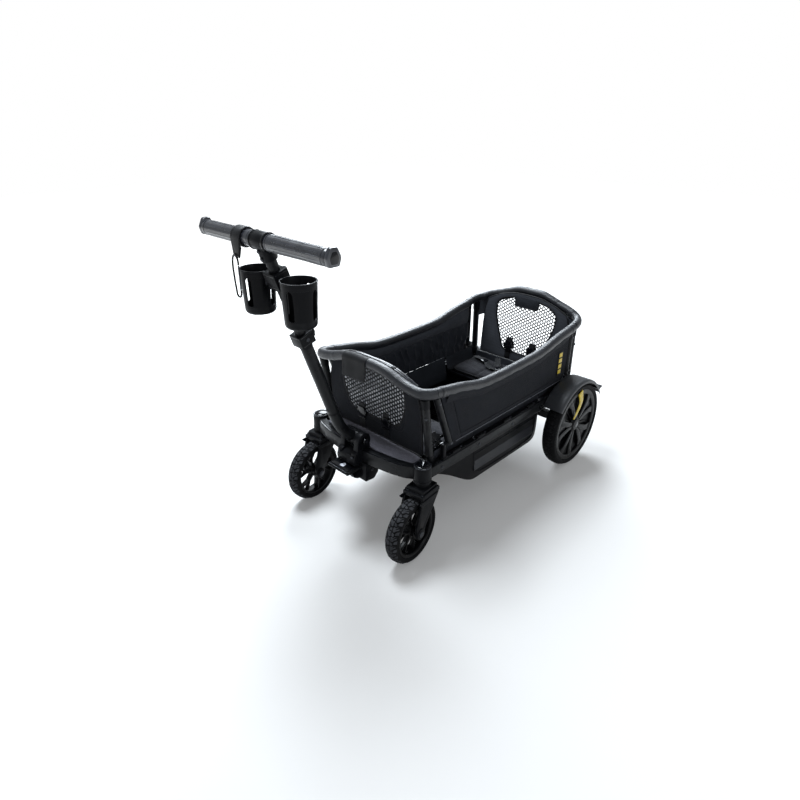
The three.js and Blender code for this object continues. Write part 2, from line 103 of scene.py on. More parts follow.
def evenly(path, count):
    """The path again, as count points the same distance apart."""
    path = np.asarray(path, float)
    along = np.concatenate([[0], np.cumsum(np.linalg.norm(np.diff(path, axis=0), axis=1))])
    where = np.linspace(0, along[-1], count)
    return np.stack([np.interp(where, along, path[:, k]) for k in range(path.shape[1])], axis=1)


def smooth(points, count):
    """count points on a smooth curve through the given ones."""
    p = np.asarray(points, float)
    ends = np.vstack([2 * p[0] - p[1], p, 2 * p[-1] - p[-2]])
    fine = []
    for a, b, c, d in zip(ends, ends[1:], ends[2:], ends[3:]):
        t1 = np.linalg.norm(b - a) ** 0.5
        t2 = t1 + np.linalg.norm(c - b) ** 0.5
        t3 = t2 + np.linalg.norm(d - c) ** 0.5
        t = np.linspace(t1, t2, 16, endpoint=False)[:, None]
        a1 = (t1 - t) / t1 * a + t / t1 * b
        a2 = (t2 - t) / (t2 - t1) * b + (t - t1) / (t2 - t1) * c
        a3 = (t3 - t) / (t3 - t2) * c + (t - t2) / (t3 - t2) * d
        b1 = (t2 - t) / t2 * a1 + t / t2 * a2
        b2 = (t3 - t) / (t3 - t1) * a2 + (t - t1) / (t3 - t1) * a3
        fine.append((t2 - t) / (t2 - t1) * b1 + (t - t1) / (t2 - t1) * b2)
    return evenly(np.vstack(fine + [p[-1:]]), count)


def oval(a, b=None, count=24, power=2.0):
    """Closed outline of half width a and half height b; a power above 2 squares it off."""
    b = a if b is None else b
    turn = np.arange(count) * 2 * math.pi / count
    c, s = np.cos(turn), np.sin(turn)
    shape = (np.abs(c) ** power + np.abs(s) ** power) ** (-1 / power)
    return np.stack([a * c * shape, b * s * shape], axis=1)


def sweep(path, section, side=None, sizes=None, closed=False):
    """section carried along path. side keeps its first direction; sizes scales it at each point."""
    path = np.asarray(path, float)
    section = np.asarray(section, float)
    if closed:
        tangents = np.roll(path, -1, axis=0) - np.roll(path, 1, axis=0)
    else:
        tangents = np.gradient(path, axis=0)
    tangents /= np.linalg.norm(tangents, axis=1)[:, None]
    u = np.array(side if side is not None else (1, 0, 0), float)
    if side is None and abs(tangents[0] @ u) > 0.8:
        u = np.array([0, 0, 1.0])
    points = []
    for k, (p, t) in enumerate(zip(path, tangents)):
        u = np.array(side, float) if side is not None else u
        u = u - (u @ t) * t
        u /= np.linalg.norm(u)
        size = 1.0 if sizes is None else sizes[k]
        points.append(p + (section[:, :1] * u + section[:, 1:] * np.cross(t, u)) * size)
    return rings(points, closed)


def rings(loops, closed=False):
    """Faces between outlines that have the same number of points, with the two ends filled."""
    n, m = len(loops), len(loops[0])
    faces = []
    for i in range(n if closed else n - 1):
        for j in range(m):
            a, b = i * m, ((i + 1) % n) * m
            faces.append((a + j, a + (j + 1) % m, b + (j + 1) % m, b + j))
    if not closed:
        faces += [tuple(range(m)), tuple(range((n - 1) * m, n * m))[::-1]]
    return np.vstack(loops), faces


def turned(profile, count=48, axis="z", centre=(0, 0, 0), closed=False):
    """profile of (radius, height) turned about an axis through centre."""
    spin = np.arange(count) * 2 * math.pi / count
    points, rows = [], []
    for r, h in profile:
        if r < 1e-7:
            rows.append([len(points)] * count)
            points.append((0, 0, h))
        else:
            rows.append(list(range(len(points), len(points) + count)))
            points += [(r * math.cos(a), r * math.sin(a), h) for a in spin]
    faces = []
    for top, low in zip(rows, rows[1:] + (rows[:1] if closed else [])):
        for j in range(count):
            face = dict.fromkeys((top[j], top[(j + 1) % count], low[(j + 1) % count], low[j]))
            if len(face) > 2:
                faces.append(tuple(face))
    points = np.array(points, float)
    if axis == "x":
        points = points[:, [2, 0, 1]]
    elif axis == "y":
        points = points[:, [1, 2, 0]]
    return points + np.array(centre, float), faces


def slab(outline, low, high, axis="z"):
    """A flat outline given thickness: (x, y) along z, (x, z) along y, or (y, z) along x."""
    flat = np.asarray(outline, float)
    layers = []
    for h in (low, high):
        column = np.full(len(flat), h)
        order = {"z": (flat[:, 0], flat[:, 1], column), "y": (flat[:, 0], column, flat[:, 1])}
        order["x"] = (column, flat[:, 0], flat[:, 1])
        layers.append(np.stack(order[axis], axis=1))
    return rings(layers)


def block(x, y, z):
    return slab([(x[0], y[0]), (x[1], y[0]), (x[1], y[1]), (x[0], y[1])], z[0], z[1])


def rod(radius, start, end, count=20):
    return sweep([start, end], oval(radius, count=count))


def sheet_of(grid, thick, outward):
    """A closed skin from a grid of points (rows, columns, 3), thickened the way outward points."""
    rows, cols = grid.shape[:2]
    back = grid + np.array(outward, float) * thick
    points = np.vstack([grid.reshape(-1, 3), back.reshape(-1, 3)])
    half = rows * cols
    faces = []
    for i in range(rows - 1):
        for j in range(cols - 1):
            q = (i * cols + j, i * cols + j + 1, (i + 1) * cols + j + 1, (i + 1) * cols + j)
            faces += [q, tuple(k + half for k in q[::-1])]
    edge = [(0, j) for j in range(cols)] + [(i, cols - 1) for i in range(1, rows)]
    edge += [(rows - 1, j) for j in range(cols - 2, -1, -1)] + [(i, 0) for i in range(rows - 2, 0, -1)]
    ids = [i * cols + j for i, j in edge]
    for a, b in zip(ids, ids[1:] + ids[:1]):
        faces.append((a, a + half, b + half, b))
    return points, faces


def moved(shape, matrix):
    points, faces = shape
    m = np.array(matrix, float)
    return points @ m[:3, :3].T + m[:3, 3], faces


def mirrored(shape, sign):
    """The shape on the right side, or its mirror image on the left."""
    points, faces = shape
    return points * np.array([sign, 1, 1]), faces


def corner(before, here, after, radius, steps):
    """Points round the corner at here, between its two neighbours."""
    a, b = before - here, after - here
    la, lb = np.linalg.norm(a), np.linalg.norm(b)
    reach = min(radius, 0.45 * la, 0.45 * lb)
    start, end = here + a / la * reach, here + b / lb * reach
    return [(1 - t) ** 2 * start + 2 * t * (1 - t) * here + t * t * end for t in np.linspace(0, 1, steps)]


def rounded(outline, radius, steps=5):
    """A flat closed outline with its corners rounded."""
    p = np.asarray(outline, float)
    near = zip(np.roll(p, 1, axis=0), p, np.roll(p, -1, axis=0))
    return np.vstack([corner(*three, radius, steps) for three in near])


def rounded_open(path, radius, steps=5):
    """An open path with its inner corners rounded."""
    p = np.asarray(path, float)
    bends = [corner(*three, radius, steps) for three in zip(p, p[1:], p[2:])]
    return np.vstack([p[:1], *bends, p[-1:]])


def blank(name, shape, finish=None):
    """A plain mesh object from one shape, its faces pointing outwards."""
    mesh = bpy.data.meshes.new(name)
    points, faces = shape
    mesh.from_pydata([tuple(map(float, p)) for p in points], [], [tuple(map(int, f)) for f in faces])
    made = bmesh.new()
    made.from_mesh(mesh)
    bmesh.ops.recalc_face_normals(made, faces=made.faces)
    made.to_mesh(mesh)
    made.free()
    obj = bpy.data.objects.new(name, mesh)
    bpy.context.scene.collection.objects.link(obj)
    if finish:
        mesh.materials.append(material(finish))
    return obj


def settle(obj):
    """Turns an object's modifiers into its mesh and removes them."""
    bpy.context.view_layer.update()
    evaluated = obj.evaluated_get(bpy.context.evaluated_depsgraph_get())
    mesh = bpy.data.meshes.new_from_object(evaluated)
    obj.modifiers.clear()
    obj.data = mesh
    return obj


def chamfer(obj, width, angle=32, steps=2):
    """Rounds off the edges sharper than angle, in degrees, and makes the result the object's mesh."""
    edge = obj.modifiers.new("Edge", "BEVEL")
    edge.width, edge.segments, edge.limit_method = width, steps, "ANGLE"
    edge.angle_limit = math.radians(angle)
    return settle(obj)


class Piece:
    """One named piece that collects shapes, each with its finish, and is then set on its body."""

    def __init__(self, name, body, slot):
        self.name, self.body, self.slot = name, body, slot
        self.nodes = ()
        self.parts = []

    def put(self, shape, finish, bevel=0.0):
        part = blank(self.name + "_part", shape, finish)
        if bevel:
            chamfer(part, bevel)
        return self.take(part)

    def screws(self, places, *head):
        """Adds a steel screw head at each place; head is the rest of what screw_head takes."""
        for place in places:
            self.put(screw_head(place, *head), "Bare steel")

    def take(self, part):
        self.parts.append(part)
        return self

    def place(self, replaces=(), sharp=34):
        """Joins the parts into one mesh at the origin and sets it on its body.

        It replaces the nodes given here, or else those that it was started from."""
        whole = bmesh.new()
        finishes = []
        for part in self.parts:
            start = len(whole.faces)
            whole.from_mesh(part.data)
            whole.faces.ensure_lookup_table()
            own = list(part.data.materials)
            for m in own:
                if m not in finishes:
                    finishes.append(m)
            for face in whole.faces[start:]:
                face.material_index = finishes.index(own[min(face.material_index, len(own) - 1)])
                face.smooth = True
            bpy.data.objects.remove(part)
        mesh = bpy.data.meshes.new(self.name)
        whole.to_mesh(mesh)
        whole.free()
        for m in finishes:
            mesh.materials.append(m)
        mesh.set_sharp_from_angle(angle=math.radians(sharp))
        obj = bpy.data.objects.new(self.name, mesh)
        bpy.context.scene.collection.objects.link(obj)
        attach(obj, self.body)
        nodes = replaces or self.nodes
        if nodes:
            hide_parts(*nodes)
        return obj


# ---------------------------------------------------------------- node helpers and finishes


def node(tree, kind, inputs=None, **settings):
    """A new node with its settings and inputs; an input is a value or another node's output."""
    made = tree.nodes.new(kind)
    for key, value in settings.items():
        setattr(made, key, value)
    for key, value in (inputs or {}).items():
        socket = made.inputs[key]
        if isinstance(value, bpy.types.NodeSocket):
            tree.links.new(value, socket)
        else:
            socket.default_value = value
    return made


def calc(tree, operation, a, b=0.0):
    """The output of a new node that does one step of arithmetic."""
    return node(tree, "ShaderNodeMath", {0: a, 1: b}, operation=operation).outputs[0]


def span(tree, value, low, high, out_low=0.0, out_high=1.0):
    """value between low and high, carried to between out_low and out_high."""
    inputs = {"Value": value, "From Min": low, "From Max": high, "To Min": out_low, "To Max": out_high}
    return node(tree, "ShaderNodeMapRange", inputs).outputs["Result"]


def weave_height(tree, place, pitch, kind):
    """Height of a cloth: crossing yarns for plain, ribs for rib, diagonal lines for twill."""
    apart = node(tree, "ShaderNodeSeparateXYZ", {0: place})
    k = 2 * math.pi / pitch
    waves = [calc(tree, "SINE", calc(tree, "MULTIPLY", apart.outputs[i], k)) for i in range(3)]
    if kind == "twill":
        total = calc(tree, "ADD", apart.outputs[0], apart.outputs[1])
        total = calc(tree, "ADD", total, apart.outputs[2])
        return span(tree, calc(tree, "SINE", calc(tree, "MULTIPLY", total, k)), -1, 1)
    if kind == "rib":
        total = calc(tree, "ADD", apart.outputs[1], calc(tree, "MULTIPLY", apart.outputs[2], 0.9))
        return span(tree, calc(tree, "SINE", calc(tree, "MULTIPLY", total, k)), -1, 1)
    one = calc(tree, "MAXIMUM", waves[0], waves[1])
    return span(tree, calc(tree, "MAXIMUM", one, waves[2]), -0.2, 1)


# How each finish looks, its colour being a setting: mottle is the size of its cloudy variation and
# shade how strong it is, grain and depth the fine bumps, weave and pitch the cloth, edge the lighter
# wear on corners, dust the pale film on upward faces, and shine how strongly it mirrors.
FINISHES = {
    "Rail cover": dict(rough=0.35, shade=0.14, mottle=26, grain=1500, depth=0.0001, weave="rib",
        pitch=0.0011, sheen=0.05, dust=0.03, shine=0.46),
    "Glossy strip": dict(rough=0.2, shade=0.12, mottle=40, grain=900, depth=0.00005, coat=0.3, shine=0.4),
    "Wall fabric": dict(rough=0.85, shade=0.14, mottle=15, grain=2200, depth=0.00012, weave="plain",
        pitch=0.0012, sheen=0.05, shine=0.15),
    "Liner fabric": dict(rough=0.66, shade=0.2, mottle=22, grain=1600, depth=0.0001, weave="twill",
        pitch=0.0014, sheen=0.04, shine=0.2),
    "Padded band": dict(rough=0.75, shade=0.14, mottle=18, grain=1800, depth=0.0001, weave="plain",
        pitch=0.0013, sheen=0.12, shine=0.2),
    "Seat fabric": dict(rough=0.9, shade=0.26, mottle=34, grain=1400, depth=0.00018, weave="plain",
        pitch=0.0016, sheen=0.1, fleck=0.5, shine=0.15),
    "Apron fabric": dict(rough=0.88, shade=0.14, mottle=20, grain=1500, depth=0.00015, weave="plain",
        pitch=0.0015, sheen=0.12, fleck=0.35, shine=0.15),
    "Patch fabric": dict(rough=0.7, shade=0.12, mottle=30, grain=1500, depth=0.0001, weave="twill",
        pitch=0.0016, shine=0.2),
    "Net strand": dict(rough=0.6, shade=0.15, mottle=60, grain=900, depth=0.00005, shine=0.2),
    # The pale backing behind the front net is partly painted light: it is made paler to stand for light
    # shining through the net's holes.
    "Net backing and painted light": dict(rough=0.8, shade=0.18, mottle=30, grain=1500, depth=0.0001, weave="plain",
        pitch=0.0016, shine=0.2),
    "Webbing": dict(rough=0.6, shade=0.2, mottle=50, grain=1600, depth=0.0001, weave="rib", pitch=0.0022,
        sheen=0.04, shine=0.2),
    "Thread": dict(rough=0.6, shade=0.2, mottle=200, grain=3000, depth=0.00004, shine=0.2),
    "Black plastic": dict(rough=0.36, shade=0.18, mottle=24, grain=1900, depth=0.00006, edge=0.15,
        shine=0.09),
    "Gloss plastic": dict(rough=0.14, shade=0.12, mottle=40, grain=400, depth=0.00002, coat=0.15, edge=0.1,
        shine=0.3),
    "Wheel plastic": dict(rough=0.34, shade=0.22, mottle=20, grain=1400, depth=0.00006, edge=0.2, dust=0.0,
        shine=0.12),
    "Ledge plastic": dict(rough=0.42, shade=0.16, mottle=18, grain=1900, depth=0.0001, edge=0.3, dust=0.04,
        shine=0.3),
    "Fender plastic": dict(rough=0.44, shade=0.14, mottle=16, grain=2300, depth=0.00012, edge=0.25,
        dust=0.05, shine=0.4),
    "Frame metal": dict(rough=0.32, metal=0.05, shade=0.16, mottle=30, grain=2600, depth=0.00005, edge=0.2,
        shine=0.17),
    "Bare steel": dict(rough=0.34, metal=0.9, shade=0.2, mottle=90, grain=900, depth=0.00004, shine=0.3),
    "Tyre rubber": dict(rough=0.7, shade=0.3, mottle=28, grain=1300, depth=0.0002, edge=0.15, dust=0.02,
        shine=0.1),
    "Tread rubber": dict(rough=0.8, shade=0.3, mottle=60, grain=1300, depth=0.0002, edge=0.25, dust=0.12,
        shine=0.15),
    "Grip rubber": dict(rough=0.3, shade=0.1, mottle=30, grain=900, depth=0.00001, coat=0.3, edge=0.1,
        shine=0.8),
    "Strap rubber": dict(rough=0.45, shade=0.15, mottle=40, grain=1500, depth=0.00008, shine=0.35),
    "Yellow accent": dict(rough=0.42, shade=0.16, mottle=60, grain=1200, depth=0.00008, edge=0.2, shine=0.4),
    # The piping is a thin cord on each side panel's hem whose pale, shiny colour is partly a painted
    # highlight.
    "Piping": dict(rough=0.3, shade=0.1, mottle=60, grain=900, depth=0.00003, shine=0.6),
    "White print": dict(rough=0.5, shade=0.12, mottle=200, grain=2000, depth=0.00002, shine=0.3),
}


def material(name):
    """The node-built material of that finish, made on first use."""
    found = bpy.data.materials.get(name)
    if found:
        return found
    look = FINISHES[name]
    colours = bpy.context.scene.wagon_colours
    base = np.array(getattr(colours, name.lower().replace(" ", "_")), float)
    made = bpy.data.materials.new(name)
    made.use_nodes = True
    tree = made.node_tree
    shader = tree.nodes["Principled BSDF"]
    place = node(tree, "ShaderNodeTexCoord").outputs["Object"]
    cloud = node(tree, "ShaderNodeTexNoise", {"Vector": place, "Scale": look["mottle"], "Detail": 5.0,
        "Roughness": 0.6}).outputs["Fac"]
    fine = node(tree, "ShaderNodeTexNoise", {"Vector": place, "Scale": look["grain"] * 0.5, "Detail": 2.0})
    shade = look["shade"]
    light = span(tree, cloud, 0.3, 0.7, 1 - shade, 1 + shade)
    if "fleck" in look:
        light = calc(tree, "MULTIPLY", light, span(tree, fine.outputs["Fac"], 0.35, 0.65, 1 - look["fleck"],
            1 + look["fleck"]))
    height = fine.outputs["Fac"]
    if "weave" in look:
        yarn = weave_height(tree, place, look["pitch"], look["weave"])
        light = calc(tree, "MULTIPLY", light, span(tree, yarn, 0, 1, 0.8, 1.12))
        height = calc(tree, "ADD", calc(tree, "MULTIPLY", yarn, 1.6), height)
    colour = node(tree, "ShaderNodeVectorMath", {0: tuple(base), "Scale": light},
        operation="SCALE").outputs[0]
    rough = span(tree, cloud, 0.3, 0.7, look["rough"] - 0.07, look["rough"] + 0.09)
    if "edge" in look:
        point = node(tree, "ShaderNodeNewGeometry").outputs["Pointiness"]
        worn = calc(tree, "MULTIPLY", span(tree, point, 0.51, 0.58), look["edge"])
        worn = calc(tree, "MULTIPLY", worn, span(tree, cloud, 0.35, 0.6))
        pale = node(tree, "ShaderNodeMix", {"Factor": worn, 6: colour, 7: (*(base * 1.6 + 0.035), 1)},
            data_type="RGBA")
        colour = pale.outputs[2]
    if "dust" in look:
        up = node(tree, "ShaderNodeSeparateXYZ", {0: node(tree, "ShaderNodeNewGeometry").outputs["Normal"]})
        speck = node(tree, "ShaderNodeTexNoise", {"Vector": place, "Scale": 130.0, "Detail": 6.0})
        film = calc(tree, "MULTIPLY", span(tree, up.outputs[2], 0.1, 1), look["dust"])
        film = calc(tree, "MULTIPLY", film, span(tree, speck.outputs["Fac"], 0.45, 0.7, 0.15, 1))
        pale = node(tree, "ShaderNodeMix", {"Factor": film, 6: colour, 7: (0.24, 0.235, 0.225, 1)},
            data_type="RGBA")
        colour = pale.outputs[2]
    tree.links.new(colour, shader.inputs["Base Color"])
    tree.links.new(rough, shader.inputs["Roughness"])
    bump = node(tree, "ShaderNodeBump", {"Height": height, "Strength": 0.55, "Distance": look["depth"]})
    tree.links.new(bump.outputs[0], shader.inputs["Normal"])
    shader.inputs["Metallic"].default_value = look.get("metal", 0.0)
    shader.inputs["Specular IOR Level"].default_value = look.get("shine", 0.3)
    shader.inputs["Sheen Weight"].default_value = look.get("sheen", 0.0)
    shader.inputs["Sheen Roughness"].default_value = 0.45
    shader.inputs["Coat Weight"].default_value = look.get("coat", 0.0)
    shader.inputs["Coat Roughness"].default_value = 0.18
    return made


# ---------------------------------------------------------------- geometry node trees


def new_tree(name, sockets):
    """An empty tree with a Geometry input and output and the named inputs (name, kind, default)."""
    tree = bpy.data.node_groups.new(name, "GeometryNodeTree")
    tree.interface.new_socket("Geometry", in_out="INPUT", socket_type="NodeSocketGeometry")
    tree.interface.new_socket("Geometry", in_out="OUTPUT", socket_type="NodeSocketGeometry")
    for label, kind, default in sockets:
        made = tree.interface.new_socket(label, in_out="INPUT", socket_type="NodeSocket" + kind)
        if default is not None:
            made.default_value = default
    return tree, node(tree, "NodeGroupInput").outputs


def end_tree(tree, geometry, inputs):
    real = node(tree, "GeometryNodeRealizeInstances", {0: geometry}).outputs[0]
    painted = node(tree, "GeometryNodeSetMaterial", {"Geometry": real, "Material": inputs["Finish"]})
    out = node(tree, "NodeGroupOutput")
    tree.links.new(painted.outputs[0], out.inputs[0])
    return tree


def round_axis_tree():
    """Copies of the object's mesh, turned about the X axis."""
    name = "Round the axis"
    if name in bpy.data.node_groups:
        return bpy.data.node_groups[name]
    tree, inputs = new_tree(name, [("Count", "Int", 8), ("Start angle", "Float", 0.0), ("Finish", "Material",
        None)])
    dots = node(tree, "GeometryNodePoints", {"Count": inputs["Count"]}).outputs[0]
    index = node(tree, "GeometryNodeInputIndex").outputs[0]
    step = calc(tree, "DIVIDE", 2 * math.pi, inputs["Count"])
    angle = calc(tree, "ADD", calc(tree, "MULTIPLY", index, step), inputs["Start angle"])
    turn = node(tree, "ShaderNodeCombineXYZ", {"X": angle})
    copies = node(tree, "GeometryNodeInstanceOnPoints", {"Points": dots, "Instance": inputs["Geometry"],
        "Rotation": turn.outputs[0]})
    return end_tree(tree, copies.outputs[0], inputs)


def stitch_tree():
    """Short thread stitches along the object's edges."""
    name = "Stitches along a seam"
    if name in bpy.data.node_groups:
        return bpy.data.node_groups[name]
    tree, inputs = new_tree(name, [("Spacing", "Float", 0.006), ("Stitch length", "Float", 0.0038),
        ("Thread radius", "Float", 0.0005), ("Finish", "Material", None)])
    seam = node(tree, "GeometryNodeMeshToCurve", {0: inputs["Geometry"]}).outputs[0]
    dots = node(tree, "GeometryNodeCurveToPoints", {"Curve": seam, "Length": inputs["Spacing"]},
        mode="LENGTH")
    thread = node(tree, "GeometryNodeMeshCylinder", {"Vertices": 5, "Radius": inputs["Thread radius"],
        "Depth": inputs["Stitch length"]})
    copies = node(tree, "GeometryNodeInstanceOnPoints", {"Points": dots.outputs["Points"],
        "Instance": thread.outputs["Mesh"], "Rotation": dots.outputs["Rotation"]})
    return end_tree(tree, copies.outputs[0], inputs)


def net_tree():
    """An open six-sided net over the object's flat faces, which lie in the XZ plane."""
    name = "Open net"
    if name in bpy.data.node_groups:
        return bpy.data.node_groups[name]
    tree, inputs = new_tree(name, [("Columns", "Int", 30), ("Rows", "Int", 30), ("Width", "Float", 0.3),
        ("Height", "Float", 0.3), ("Zigzag", "Float", 0.0015), ("Strand radius", "Float", 0.0009),
        ("Centre height", "Float", 0.4), ("Finish", "Material", None)])
    grid = node(tree, "GeometryNodeMeshGrid", {"Size X": inputs["Width"], "Size Y": inputs["Height"],
        "Vertices X": inputs["Columns"], "Vertices Y": inputs["Rows"]})
    index = node(tree, "GeometryNodeInputIndex").outputs[0]
    column = calc(tree, "FLOOR", calc(tree, "DIVIDE", index, inputs["Rows"]))
    row = calc(tree, "MODULO", index, inputs["Rows"])
    odd = calc(tree, "MODULO", calc(tree, "ADD", column, row), 2.0)
    shift = calc(tree, "MULTIPLY", calc(tree, "SUBTRACT", odd, 0.5), inputs["Zigzag"])
    flat = node(tree, "ShaderNodeSeparateXYZ", {0: node(tree, "GeometryNodeInputPosition").outputs[0]})
    upright = node(tree, "ShaderNodeCombineXYZ", {"X": calc(tree, "ADD", flat.outputs[0], shift),
        "Z": calc(tree, "ADD", flat.outputs[1], inputs["Centre height"])})
    net = node(tree, "GeometryNodeSetPosition", {"Geometry": grid.outputs["Mesh"],
        "Position": upright.outputs[0]}).outputs[0]
    # Rungs that start on an even point go, which leaves six-sided holes.
    ends = node(tree, "GeometryNodeInputMeshEdgeVertices")
    first, second = ends.outputs["Vertex Index 1"], ends.outputs["Vertex Index 2"]
    rung = calc(tree, "GREATER_THAN", calc(tree, "ABSOLUTE", calc(tree, "SUBTRACT", first, second)), 1.5)
    lowest = calc(tree, "MINIMUM", first, second)
    parity = calc(tree, "MODULO", calc(tree, "ADD", calc(tree, "FLOOR", calc(tree, "DIVIDE", lowest,
        inputs["Rows"])), calc(tree, "MODULO", lowest, inputs["Rows"])), 2.0)
    gone = calc(tree, "MULTIPLY", rung, calc(tree, "SUBTRACT", 1.0, parity))
    net = node(tree, "GeometryNodeDeleteGeometry", {"Geometry": net, "Selection": gone},
        domain="EDGE").outputs[0]
    hit = node(tree, "GeometryNodeRaycast", {"Target Geometry": inputs["Geometry"],
        "Source Position": node(tree, "ShaderNodeVectorMath",
        {0: node(tree, "GeometryNodeInputPosition").outputs[0], 1: (0.0, -1.0, 0.0)}).outputs[0],
        "Ray Direction": (0.0, 1.0, 0.0)}).outputs["Is Hit"]
    outside = node(tree, "FunctionNodeBooleanMath", {0: hit}, operation="NOT").outputs[0]
    net = node(tree, "GeometryNodeDeleteGeometry", {"Geometry": net, "Selection": outside}).outputs[0]
    line = node(tree, "GeometryNodeMeshToCurve", {0: net}).outputs[0]
    strand = node(tree, "GeometryNodeCurvePrimitiveCircle", {"Resolution": 4,
        "Radius": inputs["Strand radius"]}).outputs[0]
    cords = node(tree, "GeometryNodeCurveToMesh", {"Curve": line, "Profile Curve": strand, "Fill Caps": True})
    return end_tree(tree, cords.outputs[0], inputs)


def grown(obj, tree, finish, **inputs):
    """The object remade by a node tree as a plain mesh. Inputs are set by the sockets' identifiers."""
    ids = {s.name: s.identifier for s in tree.interface.items_tree if s.in_out == "INPUT"}
    growth = obj.modifiers.new("Growth", "NODES")
    growth.node_group = tree
    growth[ids["Finish"]] = material(finish)
    for label, value in inputs.items():
        growth[ids[label.replace("_", " ")]] = value
    settle(obj)
    if not obj.data.polygons:
        raise RuntimeError(f"{tree.name} made nothing for {obj.name}")
    return obj


def ring_of(shape, finish, count, centre, start=0.0):
    """count copies of a shape round the X axis, then carried to centre."""
    ring = grown(blank("ring", shape), round_axis_tree(), finish, Count=count, Start_angle=start)
    ring.data.transform(Matrix.Translation(Vector(centre)))
    return ring


def seam_stitches(paths, finish="Thread", spacing=0.006, length=0.0036, radius=0.0005):
    """Stitches along one or more lines of points."""
    mesh = bpy.data.meshes.new("seam")
    points, edges = [], []
    for path in paths:
        start = len(points)
        points += [tuple(map(float, p)) for p in path]
        edges += [(i, i + 1) for i in range(start, len(points) - 1)]
    mesh.from_pydata(points, edges, [])
    obj = bpy.data.objects.new("seam", mesh)
    bpy.context.scene.collection.objects.link(obj)
    return grown(obj, stitch_tree(), finish, Spacing=spacing, Stitch_length=length, Thread_radius=radius)


def sewn(name, body, slot, seams, **sizes):
    """A piece of thread stitches along the seams."""
    Piece(name, body, slot).take(seam_stitches(seams, **sizes)).place()


# ---------------------------------------------------------------- what a user may change


def colour(label, value):
    return bpy.props.FloatVectorProperty(name=label, description=f"Base colour of the {label.lower()}",
        subtype="COLOR", size=3, min=0.0, max=1.0, default=value)


def length(label, description, value, low=0.0, high=1.0):
    return bpy.props.FloatProperty(name=label, description=description, default=value, min=low, max=high,
        unit="LENGTH", subtype="DISTANCE", precision=4)


def number(label, description, value, low=1, high=400):
    return bpy.props.IntProperty(name=label, description=description, default=value, min=low, max=high)


class WagonColours(bpy.types.PropertyGroup):
    rail_cover: colour("Rail cover", (0.0085, 0.0098, 0.0135))
    glossy_strip: colour("Glossy strip", (0.016, 0.018, 0.023))
    wall_fabric: colour("Wall fabric", (0.0082, 0.0092, 0.0125))
    liner_fabric: colour("Liner fabric", (0.0185, 0.0205, 0.026))
    padded_band: colour("Padded band", (0.038, 0.0415, 0.05))
    # Also used for the rear panel's cloth, where the paler colour is painted light.
    seat_fabric: colour("Seat fabric", (0.0225, 0.0225, 0.026))
    apron_fabric: colour("Apron fabric", (0.105, 0.102, 0.12))
    patch_fabric: colour("Patch fabric", (0.08, 0.079, 0.09))
    net_strand: colour("Net strand", (0.0065, 0.0072, 0.0095))
    # Partly painted light: the backing is made paler to stand for light shining through the front net.
    net_backing_and_painted_light: colour("Net backing and painted light", (0.66, 0.67, 0.7))
    webbing: colour("Webbing", (0.0055, 0.0058, 0.007))
    thread: colour("Thread", (0.03, 0.031, 0.036))
    black_plastic: colour("Black plastic", (0.0024, 0.0027, 0.0038))
    gloss_plastic: colour("Gloss plastic", (0.0024, 0.0028, 0.0042))
    wheel_plastic: colour("Wheel plastic", (0.0016, 0.0017, 0.0022))
    ledge_plastic: colour("Ledge plastic", (0.017, 0.018, 0.022))
    fender_plastic: colour("Fender plastic", (0.024, 0.026, 0.03))
    frame_metal: colour("Frame metal", (0.0038, 0.0042, 0.0052))
    bare_steel: colour("Bare steel", (0.055, 0.058, 0.066))
    tyre_rubber: colour("Tyre rubber", (0.0026, 0.0027, 0.0032))
    tread_rubber: colour("Tread rubber", (0.029, 0.03, 0.034))
    grip_rubber: colour("Grip rubber", (0.014, 0.016, 0.023))
    strap_rubber: colour("Strap rubber", (0.006, 0.0063, 0.0076))
    yellow_accent: colour("Yellow accent", (0.52, 0.38, 0.03))
    # Partly a painted highlight along the side panels' hems.
    piping: colour("Piping", (0.075, 0.08, 0.095))
    white_print: colour("White print", (0.6, 0.62, 0.68))


class WagonFabric(bpy.types.PropertyGroup):
    cover_radius: length("Rail cover radius", "Half the width of the padded rail cover", 0.015, 0.01, 0.016)
    net_pitch: length("Net pitch", "Distance between neighbouring strands of the end nets", 0.0098, 0.004,
        0.02)
    net_row: length("Net row height", "Height of half a hole of the end nets", 0.0066, 0.003, 0.02)
    rear_strand: length("Rear strand radius", "Half the width of a strand of the rear net", 0.0021, 0.0004,
        0.003)
    front_strand: length("Front strand radius", "Half the width of a strand of the front net", 0.0027,
        0.0004, 0.004)
    gathers: number("Gathers", "Folds along each side liner", 17, 4, 60)
    stitch_spacing: length("Stitch spacing", "Distance between two stitches", 0.0065, 0.002, 0.02)
    webbing_width: length("Webbing width", "Width of the harness straps", 0.024, 0.01, 0.05)


class WagonWheels(bpy.types.PropertyGroup):
    front_lugs: number("Front lugs", "Tread blocks round a front tyre", 22, 6, 80)
    rear_lugs: number("Rear lugs", "Tread blocks round a rear tyre", 34, 6, 80)
    lug_height: length("Lug height", "How far the tread blocks of a front tyre stand out", 0.0026, 0.0005,
        0.006)
    front_spokes: number("Front spokes", "Forked spokes in a front wheel", 6, 3, 16)
    rear_spokes: number("Rear spokes", "Forked spokes in a rear wheel", 5, 3, 12)


class WagonHandle(bpy.types.PropertyGroup):
    grip_ribs: number("Grip ribs", "Long ribs round each grip", 14, 4, 40)
    cup_slots: number("Cup slots", "Tall windows round each cup holder", 4, 2, 10)
    cup_wall: length("Cup wall", "Thickness of a cup holder's wall", 0.0026, 0.001, 0.004)


